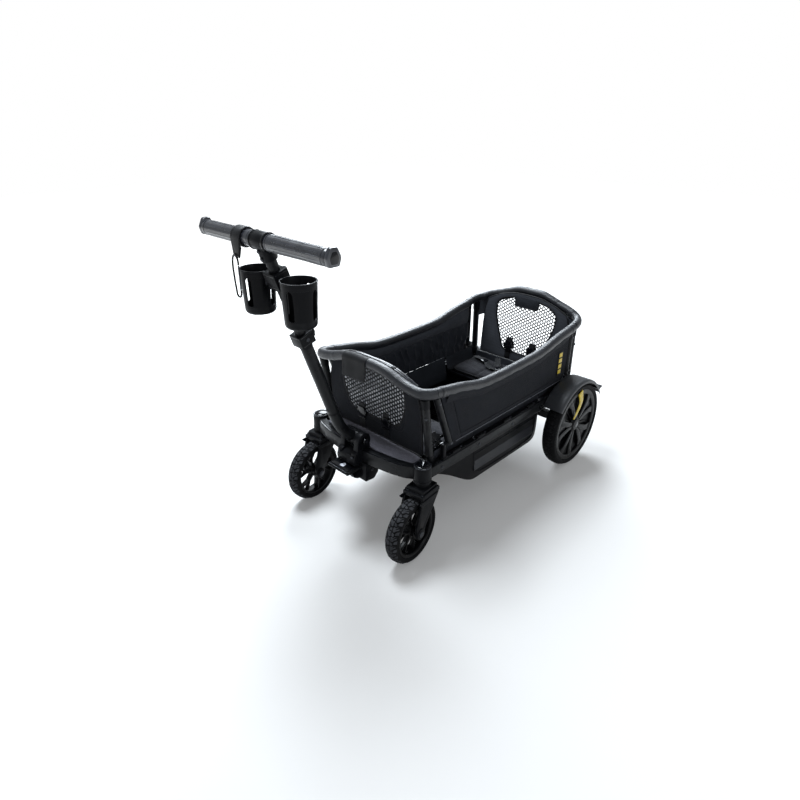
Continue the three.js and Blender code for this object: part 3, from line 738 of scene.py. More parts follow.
class WagonStage(bpy.types.PropertyGroup):
    lens: bpy.props.FloatProperty(name="Lens", description="Focal length of the camera in millimetres",
        default=26.573, min=10, max=200)
    azimuth: bpy.props.FloatProperty(name="Azimuth", description="Side that the camera looks from",
        subtype="ANGLE", default=math.radians(43.8213))
    elevation: bpy.props.FloatProperty(name="Elevation", description="How far down the camera looks",
        subtype="ANGLE", default=math.radians(25.1615))
    key_power: bpy.props.FloatProperty(name="Key light", description="Power of the main soft light in watts",
        default=140.0, min=0, max=500)
    sky: bpy.props.FloatProperty(name="Surround", description="Strength of the pale surroundings",
        default=0.4, min=0, max=5)


# ---------------------------------------------------------------- rails, hoops and posts

LABEL = (714, 0.39)  # station and height of the middle of a side label

RAIL_LINE = ((20, 507), (63, 500), (110, 492), (156, 484), (198, 474), (246, 464), (312, 460), (435, 460),
    (568, 465), (615, 473), (660, 483), (710, 492), (759, 499), (804, 509))
FRONT_ARCH = ((225, 60, 500), (225, 34, 505), (210, 6, 510), (180, -2, 515), (136, -3, 525), (90, -4, 539),
    (45, -4, 544), (0, -4, 544.5))
REAR_ARCH = ((225, 760, 499), (225, 790, 506), (219, 826, 512), (200, 852, 518), (165, 861, 532),
    (120, 862, 546), (80, 862, 560), (50, 862, 569), (0, 862, 570))
FRONT_SPLIT, REAR_SPLIT = 40, 790  # stations where the end hoops meet the side rails


def both_halves(half):
    return [(-x, y, z) for x, y, z in half] + [tuple(p) for p in half[-2::-1]]


def part_of(path, low, high, count):
    """The stretch of a path between two stations, given in millimetres."""
    y = path[:, 1] + ORIGIN
    return evenly(path[(y > low / 1000) & (y < high / 1000)], count)


def rail_path(x, low, high, count):
    return part_of(smooth(line_at([(x, y, z) for y, z in RAIL_LINE]), 1200), low, high, count)


def rail_height(station):
    """Height in metres of the side rail's middle at a station in millimetres."""
    path = rail_path(0, 21, 803, 300)
    return np.interp(y_of(np.asarray(station)), path[:, 1], path[:, 2])


def puckered(shape, amount, scale, seed):
    """The shape with its points moved in and out a little, as a loose cover is."""
    points, faces = shape
    middle = points.mean(axis=0)
    shift = np.array([noise(Vector(p) * scale + Vector((seed, 0, 0))) for p in points]) * amount
    away = points - middle
    away /= np.linalg.norm(away, axis=1)[:, None] + 1e-9
    return points + away * shift[:, None], faces


def cover_section(radius):
    """The slightly squared outline of a padded cover."""
    return oval(radius, count=26, power=2.35)


def cover_sizes(path, seams, thick=1.0, thin=0.955, lip=0.0022):
    """Scale of a cover along its path: a little thinner beyond the seam stations, with a soft lip."""
    y = path[:, 1] + ORIGIN
    low, high = seams[0] / 1000, seams[1] / 1000
    inside = 1 / (1 + np.exp(-(y - low) / lip)) * (1 / (1 + np.exp((y - high) / lip)))
    return thin + (thick - thin) * inside


def rear_skirt(radius):
    """Cloth that hangs from the rear hoop behind the folding panel and closes the gap above it."""
    path = part_of(smooth(line_at(both_halves(REAR_ARCH)), 1500), 812, 900, 150)
    rows = []
    for t in np.linspace(0, 1, 12):
        row = []
        for x, y, z in path:
            inward = np.array([-x * 0.1 if abs(x) > 0.16 else 0.0, 0, 0])
            ripple = wrinkle(x * 24, t * 2.0, 4.0) * 0.0016 * t
            deep = 0.016 + 0.036 * min(1.0, max(0.0, (abs(x) - 0.125) / 0.05))
            row.append(np.array([x, y - radius * 0.35 * (1 - t) + ripple, z - radius * 0.9 - deep * t])
                + inward * t)
        rows.append(row)
    grid = np.array(rows)
    grid[:, :, 1] -= np.linspace(0.002, 0.0085, 12)[:, None]
    skirt = Piece("rear_hoop_skirt", "chassis", "wall_fabric")
    skirt.put(sheet_of(grid, 0.0016, (0, -1, 0)), "Padded band").place(sharp=60)


def wrap_flap():
    """Rectangular cloth that wraps the front hoop and hangs in front of the net."""
    arch = smooth(line_at(both_halves(FRONT_ARCH)), 600)
    rows = []
    for x in np.linspace(-0.083, 0.016, 34):
        top = np.interp(x, arch[:, 0], arch[:, 2])
        y0 = np.interp(x, arch[:, 0], arch[:, 1])
        turn = np.radians(np.linspace(10, 180, 15))
        r = 0.0158
        wrap = [(x, y0 + r * math.cos(a), top + r * math.sin(a)) for a in turn]
        hang = [(x, y0 - r + 0.001 * math.sin(5 * k) - 0.0012 * k, top - (top - 0.487) * k)
            for k in np.linspace(0.06, 1, 13)]
        rows.append([(p[0], p[1] + 0.0006 * math.sin(90 * x + 20 * p[2]), p[2]) for p in wrap + hang])
    grid = np.array(rows)
    flap = Piece("hoop_wrap_flap", "chassis", "wall_fabric")
    flap.put(sheet_of(grid, 0.0016, (0, -1, 0.15)), "Webbing", bevel=0.0004)
    made = flap.place()
    outside = grid - (0, 0.0019, 0)
    inset = [outside[2, 16:-2], outside[-3, 16:-2], outside[2:-2, -2]]
    sewn("hoop_wrap_stitches", "chassis", "wall_fabric", inset)


class WAGON_OT_hoops(bpy.types.Operator):
    """Padded end hoops with their posts, screws and the wrap flap"""

    bl_idname = "wagon.hoops"
    bl_label = "End hoops"

    def execute(self, context):
        fabric = context.scene.wagon_fabric
        radius = fabric.cover_radius
        ends = (("front", FRONT_ARCH, -60, FRONT_SPLIT - 0.5), ("rear", REAR_ARCH, REAR_SPLIT + 0.5, 900))
        for name, half, low, high in ends:
            path = part_of(smooth(line_at(both_halves(half)), 1500), low, high, 170)
            wear = 1 + 0.008 * np.sin(np.linspace(0, 60, len(path)))
            hoop = Piece(f"{name}_hoop_cover", "chassis", "rail_cover")
            hoop.put(puckered(sweep(path, cover_section(radius), sizes=wear), 0.0005, 45, 3), "Rail cover")
            for share in ((0.24, 0.76) if name == "front" else (0.17, 0.3, 0.7, 0.83)):
                here = int(share * (len(path) - 1))
                band = sweep(path[here - 2:here + 3], cover_section(radius * 1.035))
                hoop.put(band, "Rail cover", bevel=0.0006)
            hoop.place(replaces=(f"{name}_hoop",))
            low_side = path - (0, 0, radius * 0.97)
            inner = low_side + (np.array([0, 0.004, 0]) if name == "front" else np.array([0, -0.004, 0]))
            sewn(f"{name}_hoop_stitches", "chassis", "rail_cover", [inner[6:-6]],
                spacing=fabric.stitch_spacing)
        rear_skirt(radius)
        posts = Piece("hoop_posts", "chassis", "frame_metal")
        fittings = Piece("hoop_post_fittings", "chassis", "black_plastic")
        steel = Piece("hoop_screws", "chassis", "black_steel")
        for _, sign in SIDES:
            stands = (((208.8, 48.5, 279.6), (213.7, 14, 494)), ((214, 812, 279.6), (215, 808.5, 496)))
            for foot, head in stands:
                a, b = at(sign * foot[0], *foot[1:]), at(sign * head[0], *head[1:])
                along = (b - a) / np.linalg.norm(b - a)
                posts.put(sweep([a, b], oval(0.0115, 0.0115, 28, 2.3)), "Frame metal")
                cuff = np.array([a, a + along * 0.018, a + along * 0.021, a + along * 0.024])
                fittings.put(sweep(cuff, oval(0.0131, count=28, power=2.3), sizes=[1, 1, 0.97, 0.9]),
                    "Black plastic")
                cap = np.array([b - along * 0.03, b - along * 0.026, b])
                fittings.put(sweep(cap, oval(0.0129, count=28, power=2.3), sizes=[0.92, 1, 1]),
                    "Black plastic")
                middle = b - along * 0.062
                out = np.array([sign * 0.6, -0.8, 0]) if foot[1] < 400 else np.array([sign * 1.0, 0.25, 0])
                out /= np.linalg.norm(out)
                steel.put(sweep([middle + out * 0.009, middle + out * 0.0135, middle + out * 0.0155],
                    oval(0.0042, count=14), sizes=[1, 1, 0.6]), "Bare steel")
        posts.place()
        fittings.place()
        steel.place()
        wrap_flap()
        return {"FINISHED"}


def side_frame(side, sign, fabric):
    """The padded side rail, its tab bands and stitches, both posts with their knuckles, and the bolts."""
    body = f"side_wall_{side}"
    path = rail_path(sign * WALL_X, FRONT_SPLIT + 0.5, REAR_SPLIT - 0.5, 220)
    sizes = cover_sizes(path, (66, 764)) * (1 + 0.006 * np.sin(np.linspace(0, 83, len(path))))
    cover = Piece(f"side_rail_cover_{side}", body, "rail_cover")
    rail = sweep(path, cover_section(fabric.cover_radius * 1.03), side=(1, 0, 0), sizes=sizes)
    cover.put(puckered(rail, 0.0006, 40, 9 * sign), "Rail cover")
    for station in (66, 764):
        here = int(np.argmin(abs(path[:, 1] + ORIGIN - station / 1000)))
        tab = sweep(path[here - 1:here + 3], cover_section(fabric.cover_radius * 1.07), side=(1, 0, 0))
        cover.put(tab, "Rail cover", bevel=0.0006)
    cover.place(replaces=(f"side_frame_{side}",))
    seam = path + (-sign * 0.0135, 0, -0.0085)
    welt = path + (sign * 0.0105, 0, -0.012)
    seams = [seam[8:-8], welt[8:-8]]
    sewn(f"side_rail_stitches_{side}", body, "rail_cover", seams, spacing=fabric.stitch_spacing)
    posts = Piece(f"side_posts_{side}", body, "frame_metal")
    x = sign * WALL_X
    lean = [at(x, 113, 320), at(x, 48, 489)]
    posts.put(sweep(lean, oval(0.0105, 0.0085, 28, 2.6), side=(1, 0, 0)), "Frame metal")
    posts.put(sweep([at(x, 776, 320), at(x, 776, 494)], oval(0.0085, count=24), side=(1, 0, 0)),
        "Frame metal")
    for low, high in ((93.5, 124.5), (767.5, 788.5)):
        knuckle = [(0, low), (7, low), (8.8, low + 2), (8.8, high - 2), (7, high), (0, high)]
        profile = [(r / 1000, h / 1000) for r, h in knuckle]
        posts.put(turned(profile, 28, "y", (x / 1000, -ORIGIN, 0.322)), "Black plastic")
    posts.place()
    bolts = Piece(f"side_bolts_{side}", body, "black_steel")
    head = [(0, 0.0085), (0.0034, 0.0085), (0.0046, 0.0098), (0.0038, 0.0114), (0, 0.0118)]
    for y, z in ((113, 322), (55.5, 470), (776, 470), (776, 345)):
        bolts.put(turned([(r, h * sign) for r, h in head], 14, "x", at(x, y, z)), "Bare steel")
    bolts.place()


def wall_grid(low, high, columns, rows, front=(127, 65), notch=0):
    """Stations and heights in metres over the wall, from heights low to high (functions of station).

    notch is how far, in millimetres, the lower back corner is cut away to clear the rear hinge upstand."""
    grid = np.zeros((rows, columns, 2))
    for i, v in enumerate(np.linspace(0, 1, rows)):
        start = front[0] + (front[1] - front[0]) * v
        corner = notch * min(1.0, max(0.0, (0.42 - v) / 0.15))
        y = np.linspace(start, 766 - max(corner, 10 * (1 - v) ** 6), columns)
        grid[i, :, 0] = y_of(y)
        grid[i, :, 1] = low(y) + (high(y) - low(y)) * v
    return grid


def shaped(grid, across):
    """The wall grid with x from across(v, u, y, z); v and u are the shares of the height and the length."""
    rows, columns = grid.shape[0] - 1, grid.shape[1] - 1
    return np.array([[(across(i / rows, j / columns, y, z), y, z) for j, (y, z) in enumerate(line)]
        for i, line in enumerate(grid)])


def outer_panel(side, sign, fabric):
    """The cloth outside a side wall, with its sleeve, hem, yoke, piping (partly a painted highlight) and
    label.
    """
    body = f"side_wall_{side}"
    grid = wall_grid(lambda y: 0.3145 + 0.022 * np.clip((y - 742) / 24, 0, 1),
        lambda y: rail_height(y) - 0.0125, 130, 36)

    def across(v, u, y, z):
        ripple = wrinkle(y * 5, z * 9, sign * 2.0) * 0.0014
        ripple += wrinkle(y * 22 + z * 12, z * 6, 5.0) * 0.0005
        belly = 0.0012 * math.sin(math.pi * v) * math.sin(math.pi * u) ** 0.5
        return sign * (0.2272 + ripple * min(1, 4 * v * (1 - v) + 0.15) + belly)

    skin = shaped(grid, across)
    panel = Piece(f"side_panel_cloth_{side}", body, "wall_fabric")
    panel.put(sheet_of(skin, 0.0022, (-sign, 0, 0)), "Wall fabric")
    made = panel.place(replaces=(f"side_panel_{side}",), sharp=50)
    # The front edge is doubled over the leaning post, and the bottom edge is a hem.
    sleeve = skin[:, :9] + (sign * 0.0013, 0, 0)
    hem = skin[:5] + (sign * 0.0011, 0, 0)
    doubled = Piece(f"side_panel_hems_{side}", body, "wall_fabric")
    top = skin[-1]
    drop = [(0.0152, 0.0125), (0.0149, 0.0085), (0.0138, 0.002), (0.0108, -0.0065), (0.0072, -0.013),
        (0.004, -0.023)]
    yoke = np.array([[(sign * (WALL_X / 1000 + out), p[1], p[2] + up) for p in top[4:-2]]
        for out, up in drop])
    doubled.put(sheet_of(yoke, 0.0006, (-sign, 0, 0)), "Wall fabric")
    doubled.put(sheet_of(sleeve, 0.001, (-sign, 0, 0)), "Wall fabric", bevel=0.0003)
    doubled.put(sheet_of(hem, 0.0016, (-sign, 0, 0)), "Wall fabric", bevel=0.0003)
    doubled.put(sweep(skin[:, 9] + (sign * 0.0008, 0, 0), oval(0.0013, count=8)), "Wall fabric")
    doubled.put(sweep(skin[0] + (sign * 0.0003, 0, 0), oval(0.0021, count=8)), "Webbing")
    # A pale cord along the hem: partly piping, partly a painted highlight along the panel's foot.
    doubled.put(sweep(skin[1, 3:] + (sign * 0.002, 0, -0.0022), oval(0.0013, count=8)), "Piping")
    doubled.place(sharp=50)
    lift = np.array([sign * 0.0016, 0, 0])
    seams = [skin[4, 4:] + lift, skin[3:-2, 8] + lift, skin[3:-2, 7] + lift, skin[3:-2, -4] + lift]
    sewn(f"side_panel_stitches_{side}", body, "wall_fabric", seams, spacing=fabric.stitch_spacing)
    tag = Piece(f"side_label_{side}", body, "yellow_accent")
    # Plain woven tab with four bars.
    y, z = y_of(LABEL[0]), LABEL[1]
    x = sign * 0.23
    low, high = sorted((x, x + sign * 0.0009))
    tag.put(block((low, high), (y - 0.0145, y + 0.0145), (z - 0.045, z + 0.045)), "Webbing", bevel=0.0003)
    for k in range(4):
        low, high = sorted((x, x + sign * 0.0014))
        middle = z + 0.0315 - 0.021 * k
        tag.put(block((low, high), (y - 0.01, y + 0.01), (middle - 0.0076, middle + 0.0076)),
            "Yellow accent", bevel=0.0003)
    tag.place()


def padded_band(side, sign, fabric):
    """The soft band along the top of a side wall, on the inside."""
    body = f"side_wall_{side}"
    grid = wall_grid(lambda y: 0.418, lambda y: rail_height(y) - 0.006, 150, 18, (80, 62))

    def across(v, u, y, z):
        pad = 0.0075 * math.sin(math.pi * (0.06 + 0.9 * v)) ** 0.7 * min(1, 12 * u, 12 * (1 - u)) ** 0.5
        soft = wrinkle(y * 16, z * 14, 7.0 + sign) * 0.0016
        soft += wrinkle(y * 40 + z * 30, z * 20, sign) * 0.0005
        return sign * (0.2185 - pad - soft * math.sin(math.pi * v))

    skin = shaped(grid, across)
    band = Piece(f"side_padded_band_{side}", body, "wall_fabric")
    band.put(sheet_of(skin, 0.0012, (sign, 0, 0)), "Padded band")
    band.put(sweep(skin[0] - (sign * 0.0004, 0, 0.001), oval(0.0016, count=8)), "Liner fabric")
    made = band.place(sharp=50)
    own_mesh(made)
    seam = skin[1] + (-sign * 0.0004, 0, 0)
    sewn(f"side_band_stitches_{side}", body, "wall_fabric", [seam], spacing=fabric.stitch_spacing)


def side_liner(side, sign, fabric):
    """The gathered cloth below the padded band, on the inside."""
    body = f"side_wall_{side}"
    grid = wall_grid(lambda y: 0.3115, lambda y: 0.4195, 300, 40, (120, 84), 20)

    def across(v, u, y, z):
        drift = 2.6 * wrinkle(u * 7, v * 1.3, 11.0 * sign)
        fold = 1 - abs(math.sin(math.pi * fabric.gathers * u + drift + 0.9 * v))
        depth = 0.0045 * math.sin(math.pi * min(1, v * 0.8 + 0.14)) + 0.0085 * fold ** 1.6 * (0.3 + 0.7 * v)
        depth += 0.0022 * wrinkle(y * 26 + z * 34, z * 8, 2.0 + sign)
        edge = min(1, 30 * u, 30 * (1 - u), 9 * (1 - v) + 0.25)
        return sign * (0.2178 - max(0.0004, depth * edge))

    skin = shaped(grid, across)
    cloth = Piece(f"side_liner_{side}", body, "wall_fabric")
    cloth.put(sheet_of(skin, 0.0009, (sign, 0, 0)), "Liner fabric")
    made = cloth.place(sharp=60)
    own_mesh(made)


class WAGON_OT_side_walls(bpy.types.Operator):
    """Side rails, outer panels, padded bands and gathered liners"""

    bl_idname = "wagon.side_walls"
    bl_label = "Side walls"

    def execute(self, context):
        fabric = context.scene.wagon_fabric
        for side, sign in SIDES:
            side_frame(side, sign, fabric)
            outer_panel(side, sign, fabric)
            padded_band(side, sign, fabric)
            side_liner(side, sign, fabric)
        return {"FINISHED"}


# ---------------------------------------------------------------- end panels

FRONT_OUTLINE = ((194, 298), (194, 440), (176, 500), (136, 516), (90, 530), (0, 535))
PANEL_CENTRE = np.array([0.0, 0.425])  # x and z that the panels' skins and nets are drawn round
REAR_OUTLINE = ((184, 298), (187, 474), (176, 520), (122, 545), (60, 562), (0, 564))
FRONT_WINDOW = ((0, 352), (86, 354), (106, 362), (119, 392), (131, 430), (133, 455), (124, 492), (96, 507),
    (0, 512))
REAR_WINDOW = ((0, 328), (70, 330), (84, 338), (98, 372), (116, 420), (130, 464), (132, 512), (106, 534),
    (60, 546), (0, 550))


def full_outline(half):
    """An outline of (x, z) in metres from its right half in millimetres, both ends on the middle."""
    right = [(x / 1000, z / 1000) for x, z in half]
    left = [(-x, z) for x, z in right[::-1] if x > 0]
    return np.array(right + left)


def polar(outline, centre, angles):
    """Where rays from centre at those angles leave the outline."""
    p = np.asarray(outline) - centre
    q = np.roll(p, -1, axis=0)
    made = []
    for a in angles:
        d = np.array([math.cos(a), math.sin(a)])
        best = 0.0
        for s, e in zip(p, q):
            edge = e - s
            det = d[0] * -edge[1] + d[1] * edge[0]
            if abs(det) < 1e-12:
                continue
            t = (s[0] * -edge[1] + s[1] * edge[0]) / det
            k = (d[0] * s[1] - d[1] * s[0]) / det
            if t > 0 and -1e-6 <= k <= 1 + 1e-6:
                best = max(best, t)
        made.append(d * best + centre)
    return np.array(made)


def leaning(name):
    """Carries an upright panel, drawn about y = 0, to its place and lean."""
    station, pivot, lean = {"front": (34, 0.302, 3.0), "rear": (812, 0.302, -6.0)}[name]
    there = Matrix.Translation((0, y_of(station), pivot))
    return there @ Matrix.Rotation(math.radians(lean), 4, "X") @ Matrix.Translation((0, 0, -pivot))


def end_panel(name, half, window, fabric):
    """The cloth frame round a window, as two skins joined at both rims, with its bindings and stitches."""
    body = f"{name}_panel"
    outer = full_outline(half)
    hole = rounded(full_outline(window), 0.012, 4)
    corners = [math.atan2(z - PANEL_CENTRE[1], x) for x, z in outer]
    angles = np.array(sorted(set(list(np.linspace(-math.pi, math.pi, 180, endpoint=False)) + corners)))
    edge, rim = polar(outer, PANEL_CENTRE, angles), polar(hole, PANEL_CENTRE, angles)
    skins = []
    for face in (-1, 1):
        grid = np.zeros((12, len(angles) + 1, 3))
        for i, t in enumerate(np.linspace(0, 1, 12)):
            flat = rim + (edge - rim) * t
            flat = np.vstack([flat, flat[:1]])
            for j, (x, z) in enumerate(flat):
                soft = wrinkle(x * 11, z * 13, face * 3.0) * 0.0012
                soft += wrinkle(x * 34 + z * 22, z * 16, face * 5.0) * 0.0004
                fill = math.sin(math.pi * (0.04 + 0.92 * t)) ** 0.5
                grid[i, j] = (x, face * (0.0018 + (0.0016 + soft) * fill), z)
        skins.append(grid)
    front, back = skins
    loop = len(angles)
    points = np.vstack([front[:, :-1].reshape(-1, 3), back[:, :-1].reshape(-1, 3)])
    faces, half_count = [], 12 * loop
    for i in range(11):
        for j in range(loop):
            q = (i * loop + j, i * loop + (j + 1) % loop, (i + 1) * loop + (j + 1) % loop, (i + 1) * loop + j)
            faces += [q, tuple(k + half_count for k in q[::-1])]
    for j in range(loop):
        a, b = j, (j + 1) % loop
        faces.append((a, a + half_count, b + half_count, b))
        a, b = 11 * loop + j, 11 * loop + (j + 1) % loop
        faces.append((a, b, b + half_count, a + half_count))
    lean = leaning(name)
    cloth = Piece(f"{name}_panel_cloth", body, "wall_fabric")
    # The rear panel is the same cloth as the front one, but it takes the paler padded band finish as painted
    # light, to lift it out of the shade of the tub.
    cloth.put(moved((points, faces), lean), "Wall fabric" if name == "front" else "Padded band")
    ring = np.array([(x, 0, z) for x, z in rim])
    cloth.put(moved(sweep(ring, oval(0.003, 0.004, 10), side=(0, 1, 0), closed=True), lean), "Webbing")
    border = np.array([(x * 0.994, 0, z) for x, z in polar(rounded(outer, 0.012, 4), PANEL_CENTRE, angles)])
    cloth.put(moved(sweep(border, oval(0.0036, 0.0024, 10), side=(0, 1, 0), closed=True), lean), "Webbing")
    cloth.place(replaces=(f"{name}_panel",), sharp=60)
    trim = Piece(f"{name}_panel_stitches", body, "wall_fabric")
    for face in (0, 1):
        for t in (1, 2, 10):
            line = skins[face][t, :] + np.array([0, (-0.0003, 0.0003)[face], 0])
            stitched = seam_stitches([line], spacing=fabric.stitch_spacing)
            stitched.data.transform(lean)
            trim.take(stitched)
    trim.place()


def end_net(name, window, strand, fabric):
    """The open net in a window; the front one has two layers with a backing between them, whose pale colour
    is partly painted light.
    """
    face = rounded(full_outline(window), 0.012, 4)
    low, high = face.min(axis=0), face.max(axis=0)
    wide, tall = high - low + 0.004
    columns, rows = int(wide / fabric.net_pitch) + 2, int(tall / fabric.net_row) + 2
    points = [(x, 0.0, z) for x, z in face * (0.999, 1.0)]
    body = f"{name}_panel"
    net = Piece(f"{name}_panel_net", body, "mesh_fabric")
    for layer in ((-0.0012, 0.0012) if name == "front" else (0.0,)):
        made = grown(blank("net", (np.array(points), [tuple(range(len(points)))])), net_tree(), "Net strand",
            Columns=columns, Rows=rows, Width=(columns - 1) * fabric.net_pitch,
            Height=(rows - 1) * fabric.net_row, Zigzag=fabric.net_pitch * 0.5, Strand_radius=strand,
            Centre_height=float((low + high)[1] / 2))
        made.data.transform(Matrix.Translation((0, layer, 0)) @ Matrix.Diagonal((1, 0.35, 1, 1)))
        made.data.transform(leaning(name))
        net.take(made)
    net.place()
    if name == "front":
        # A pale knitted backing lies inside the close front net and shows through its holes; its pale colour
        # is partly painted light, the light that shines through the net.
        spin = np.linspace(0, 2 * math.pi, 120, endpoint=False)
        edge = polar(face, PANEL_CENTRE, spin)
        middle, half = PANEL_CENTRE[1], np.array([0, 0.0005, 0])
        rows = [np.column_stack([edge[:, 0] * t, np.zeros(120), middle + (edge[:, 1] - middle) * t])
            for t in (1.0, 0.75, 0.5, 0.25)]
        rows = [r + half for r in rows] + [r - half for r in rows[::-1]]
        backing = Piece("front_panel_backing_and_painted_light", body, "mesh_fabric")
        backing.put(moved(rings(rows), leaning(name)), "Net backing and painted light").place(sharp=60)


def panel_straps(name, fabric):
    """Two webbing straps with buckles at the foot of an end panel."""
    body, lean = f"{name}_panel", leaning(name)
    inward = 1 if name == "front" else -1
    width = fabric.webbing_width
    webbing = Piece(f"{name}_panel_straps", body, "webbing")
    buckles = Piece(f"{name}_panel_buckles", body, "gloss_plastic")
    for x in (-0.052, 0.052):
        for face in (inward, -inward):
            y = face * 0.0047
            run = np.array([(x, y * 0.5, 0.299), (x, y, 0.306), (x + 0.001, y * 1.08, 0.33), (x, y, 0.352),
                (x, y * 1.1, 0.372), (x, y * 0.7, 0.384)])
            tape = sweep(smooth(run, 26), oval(width / 2, 0.0008, 14, 5), side=(1, 0, 0))
            webbing.put(moved(tape, lean), "Webbing")
            if name == "front" and face == inward:
                continue  # the harness lies here when the panel is folded
            outline = rounded([(x - 0.0155, 0.338), (x + 0.0155, 0.338), (x + 0.0165, 0.35),
                (x + 0.0125, 0.372), (x - 0.0125, 0.372), (x - 0.0165, 0.35)], 0.004)
            low, high = ordered(face, 0.0058, 0.0098)
            buckles.put(moved(slab(outline, low, high, "y"), lean), "Gloss plastic", bevel=0.0008)
            for dx in (-0.0175, 0.0175):
                prong = block((x + dx - 0.0018, x + dx + 0.0018), ordered(face, 0.0056, 0.0088),
                    (0.345, 0.361))
                buckles.put(moved(prong, lean), "Gloss plastic", bevel=0.0006)
            bar = block((x - 0.015, x + 0.015), ordered(face, 0.0058, 0.0086), (0.331, 0.336))
            buckles.put(moved(bar, lean), "Gloss plastic", bevel=0.0006)
    webbing.place()
    buckles.place()


def top_strip():
    """Glossy moulded strip along the top of the front panel, just behind the hoop."""
    half = [(178, 0, 510), (136, 0, 527), (90, 0, 541), (45, 0, 546), (0, 0, 546.5)]
    path = smooth(np.array([(x / 1000, 0, z / 1000) for x, _, z in both_halves(half)]), 110)
    lean = leaning("front")
    strip = Piece("front_panel_top_strip", "front_panel", "rail_cover")
    strip.put(moved(sweep(path, oval(0.0078, 0.0072, 20, 3.2), side=(0, 1, 0)), lean), "Glossy strip")
    for share in (0.0, 0.25, 0.75, 1.0):
        here = int(share * (len(path) - 1))
        low, high = max(0, here - 2), min(len(path), here + 3)
        clip = sweep(path[low:high], oval(0.0086, 0.008, 20, 3.2), side=(0, 1, 0))
        strip.put(moved(clip, lean), "Black plastic", bevel=0.0006)
    groove = path + (0, 0.0, 0.007)
    strip.put(moved(sweep(groove, oval(0.002, 0.0009, 8), side=(0, 1, 0)), lean), "Gloss plastic")
    strip.place(replaces=("front_panel_bar",))


def pull_flap():
    """Dark pull flap at the top of the rear net, with a stitched border."""
    lean = leaning("rear")
    flap = Piece("rear_panel_flap", "rear_panel", "wall_fabric")
    stitched = Piece("rear_panel_flap_stitches", "rear_panel", "wall_fabric")
    for face in (-1, 1):
        outline = rounded([(-0.05, 0.512), (0.05, 0.512), (0.054, 0.552), (-0.054, 0.552)], 0.006)
        low, high = ordered(face, 0.0026, 0.0048)
        flap.put(moved(slab(outline, low, high, "y"), lean), "Liner fabric", bevel=0.0008)
        line = np.array([(-0.047, face * 0.0051, 0.547), (-0.046, face * 0.0051, 0.516),
            (0.046, face * 0.0051, 0.516), (0.047, face * 0.0051, 0.547)])
        thread = seam_stitches([evenly(line, 60)], spacing=0.005)
        thread.data.transform(lean)
        stitched.take(thread)
    flap.place()
    stitched.place()


class WAGON_OT_end_panels(bpy.types.Operator):
    """Front and rear fabric panels with open nets, bindings, flaps and buckles"""

    bl_idname = "wagon.end_panels"
    bl_label = "End panels"

    def execute(self, context):
        fabric = context.scene.wagon_fabric
        for name, half, window, strand in (("front", FRONT_OUTLINE, FRONT_WINDOW, fabric.front_strand),
                ("rear", REAR_OUTLINE, REAR_WINDOW, fabric.rear_strand)):
            end_panel(name, half, window, fabric)
            end_net(name, window, strand, fabric)
            panel_straps(name, fabric)
        top_strip()
        pull_flap()
        return {"FINISHED"}


# ---------------------------------------------------------------- seats, harness, apron and floor


def swollen(obj, frames, pressure, most):
    """The closed mesh after cloth pressure has puffed it up, each point moved by at most `most`."""
    start = np.array([v.co for v in obj.data.vertices])
    cloth = obj.modifiers.new("Cloth", "CLOTH")
    cloth.settings.quality = 6
    cloth.settings.use_pressure = True
    cloth.settings.uniform_pressure_force = pressure
    cloth.settings.tension_stiffness = cloth.settings.compression_stiffness = 22
    cloth.settings.effector_weights.gravity = 0.0
    cloth.point_cache.frame_start, cloth.point_cache.frame_end = 1, frames
    scene = bpy.context.scene
    for step in range(1, frames + 1):
        scene.frame_set(step)
    shaped = obj.evaluated_get(bpy.context.evaluated_depsgraph_get())
    end = np.array([v.co for v in shaped.data.vertices])
    obj.modifiers.clear()
    scene.frame_set(1)
    move = end - start
    far = np.linalg.norm(move, axis=1)
    move *= (np.minimum(far, most) / np.maximum(far, 1e-9))[:, None]
    obj.data.vertices.foreach_set("co", (start + move).astype(np.float32).ravel())
    obj.data.update()


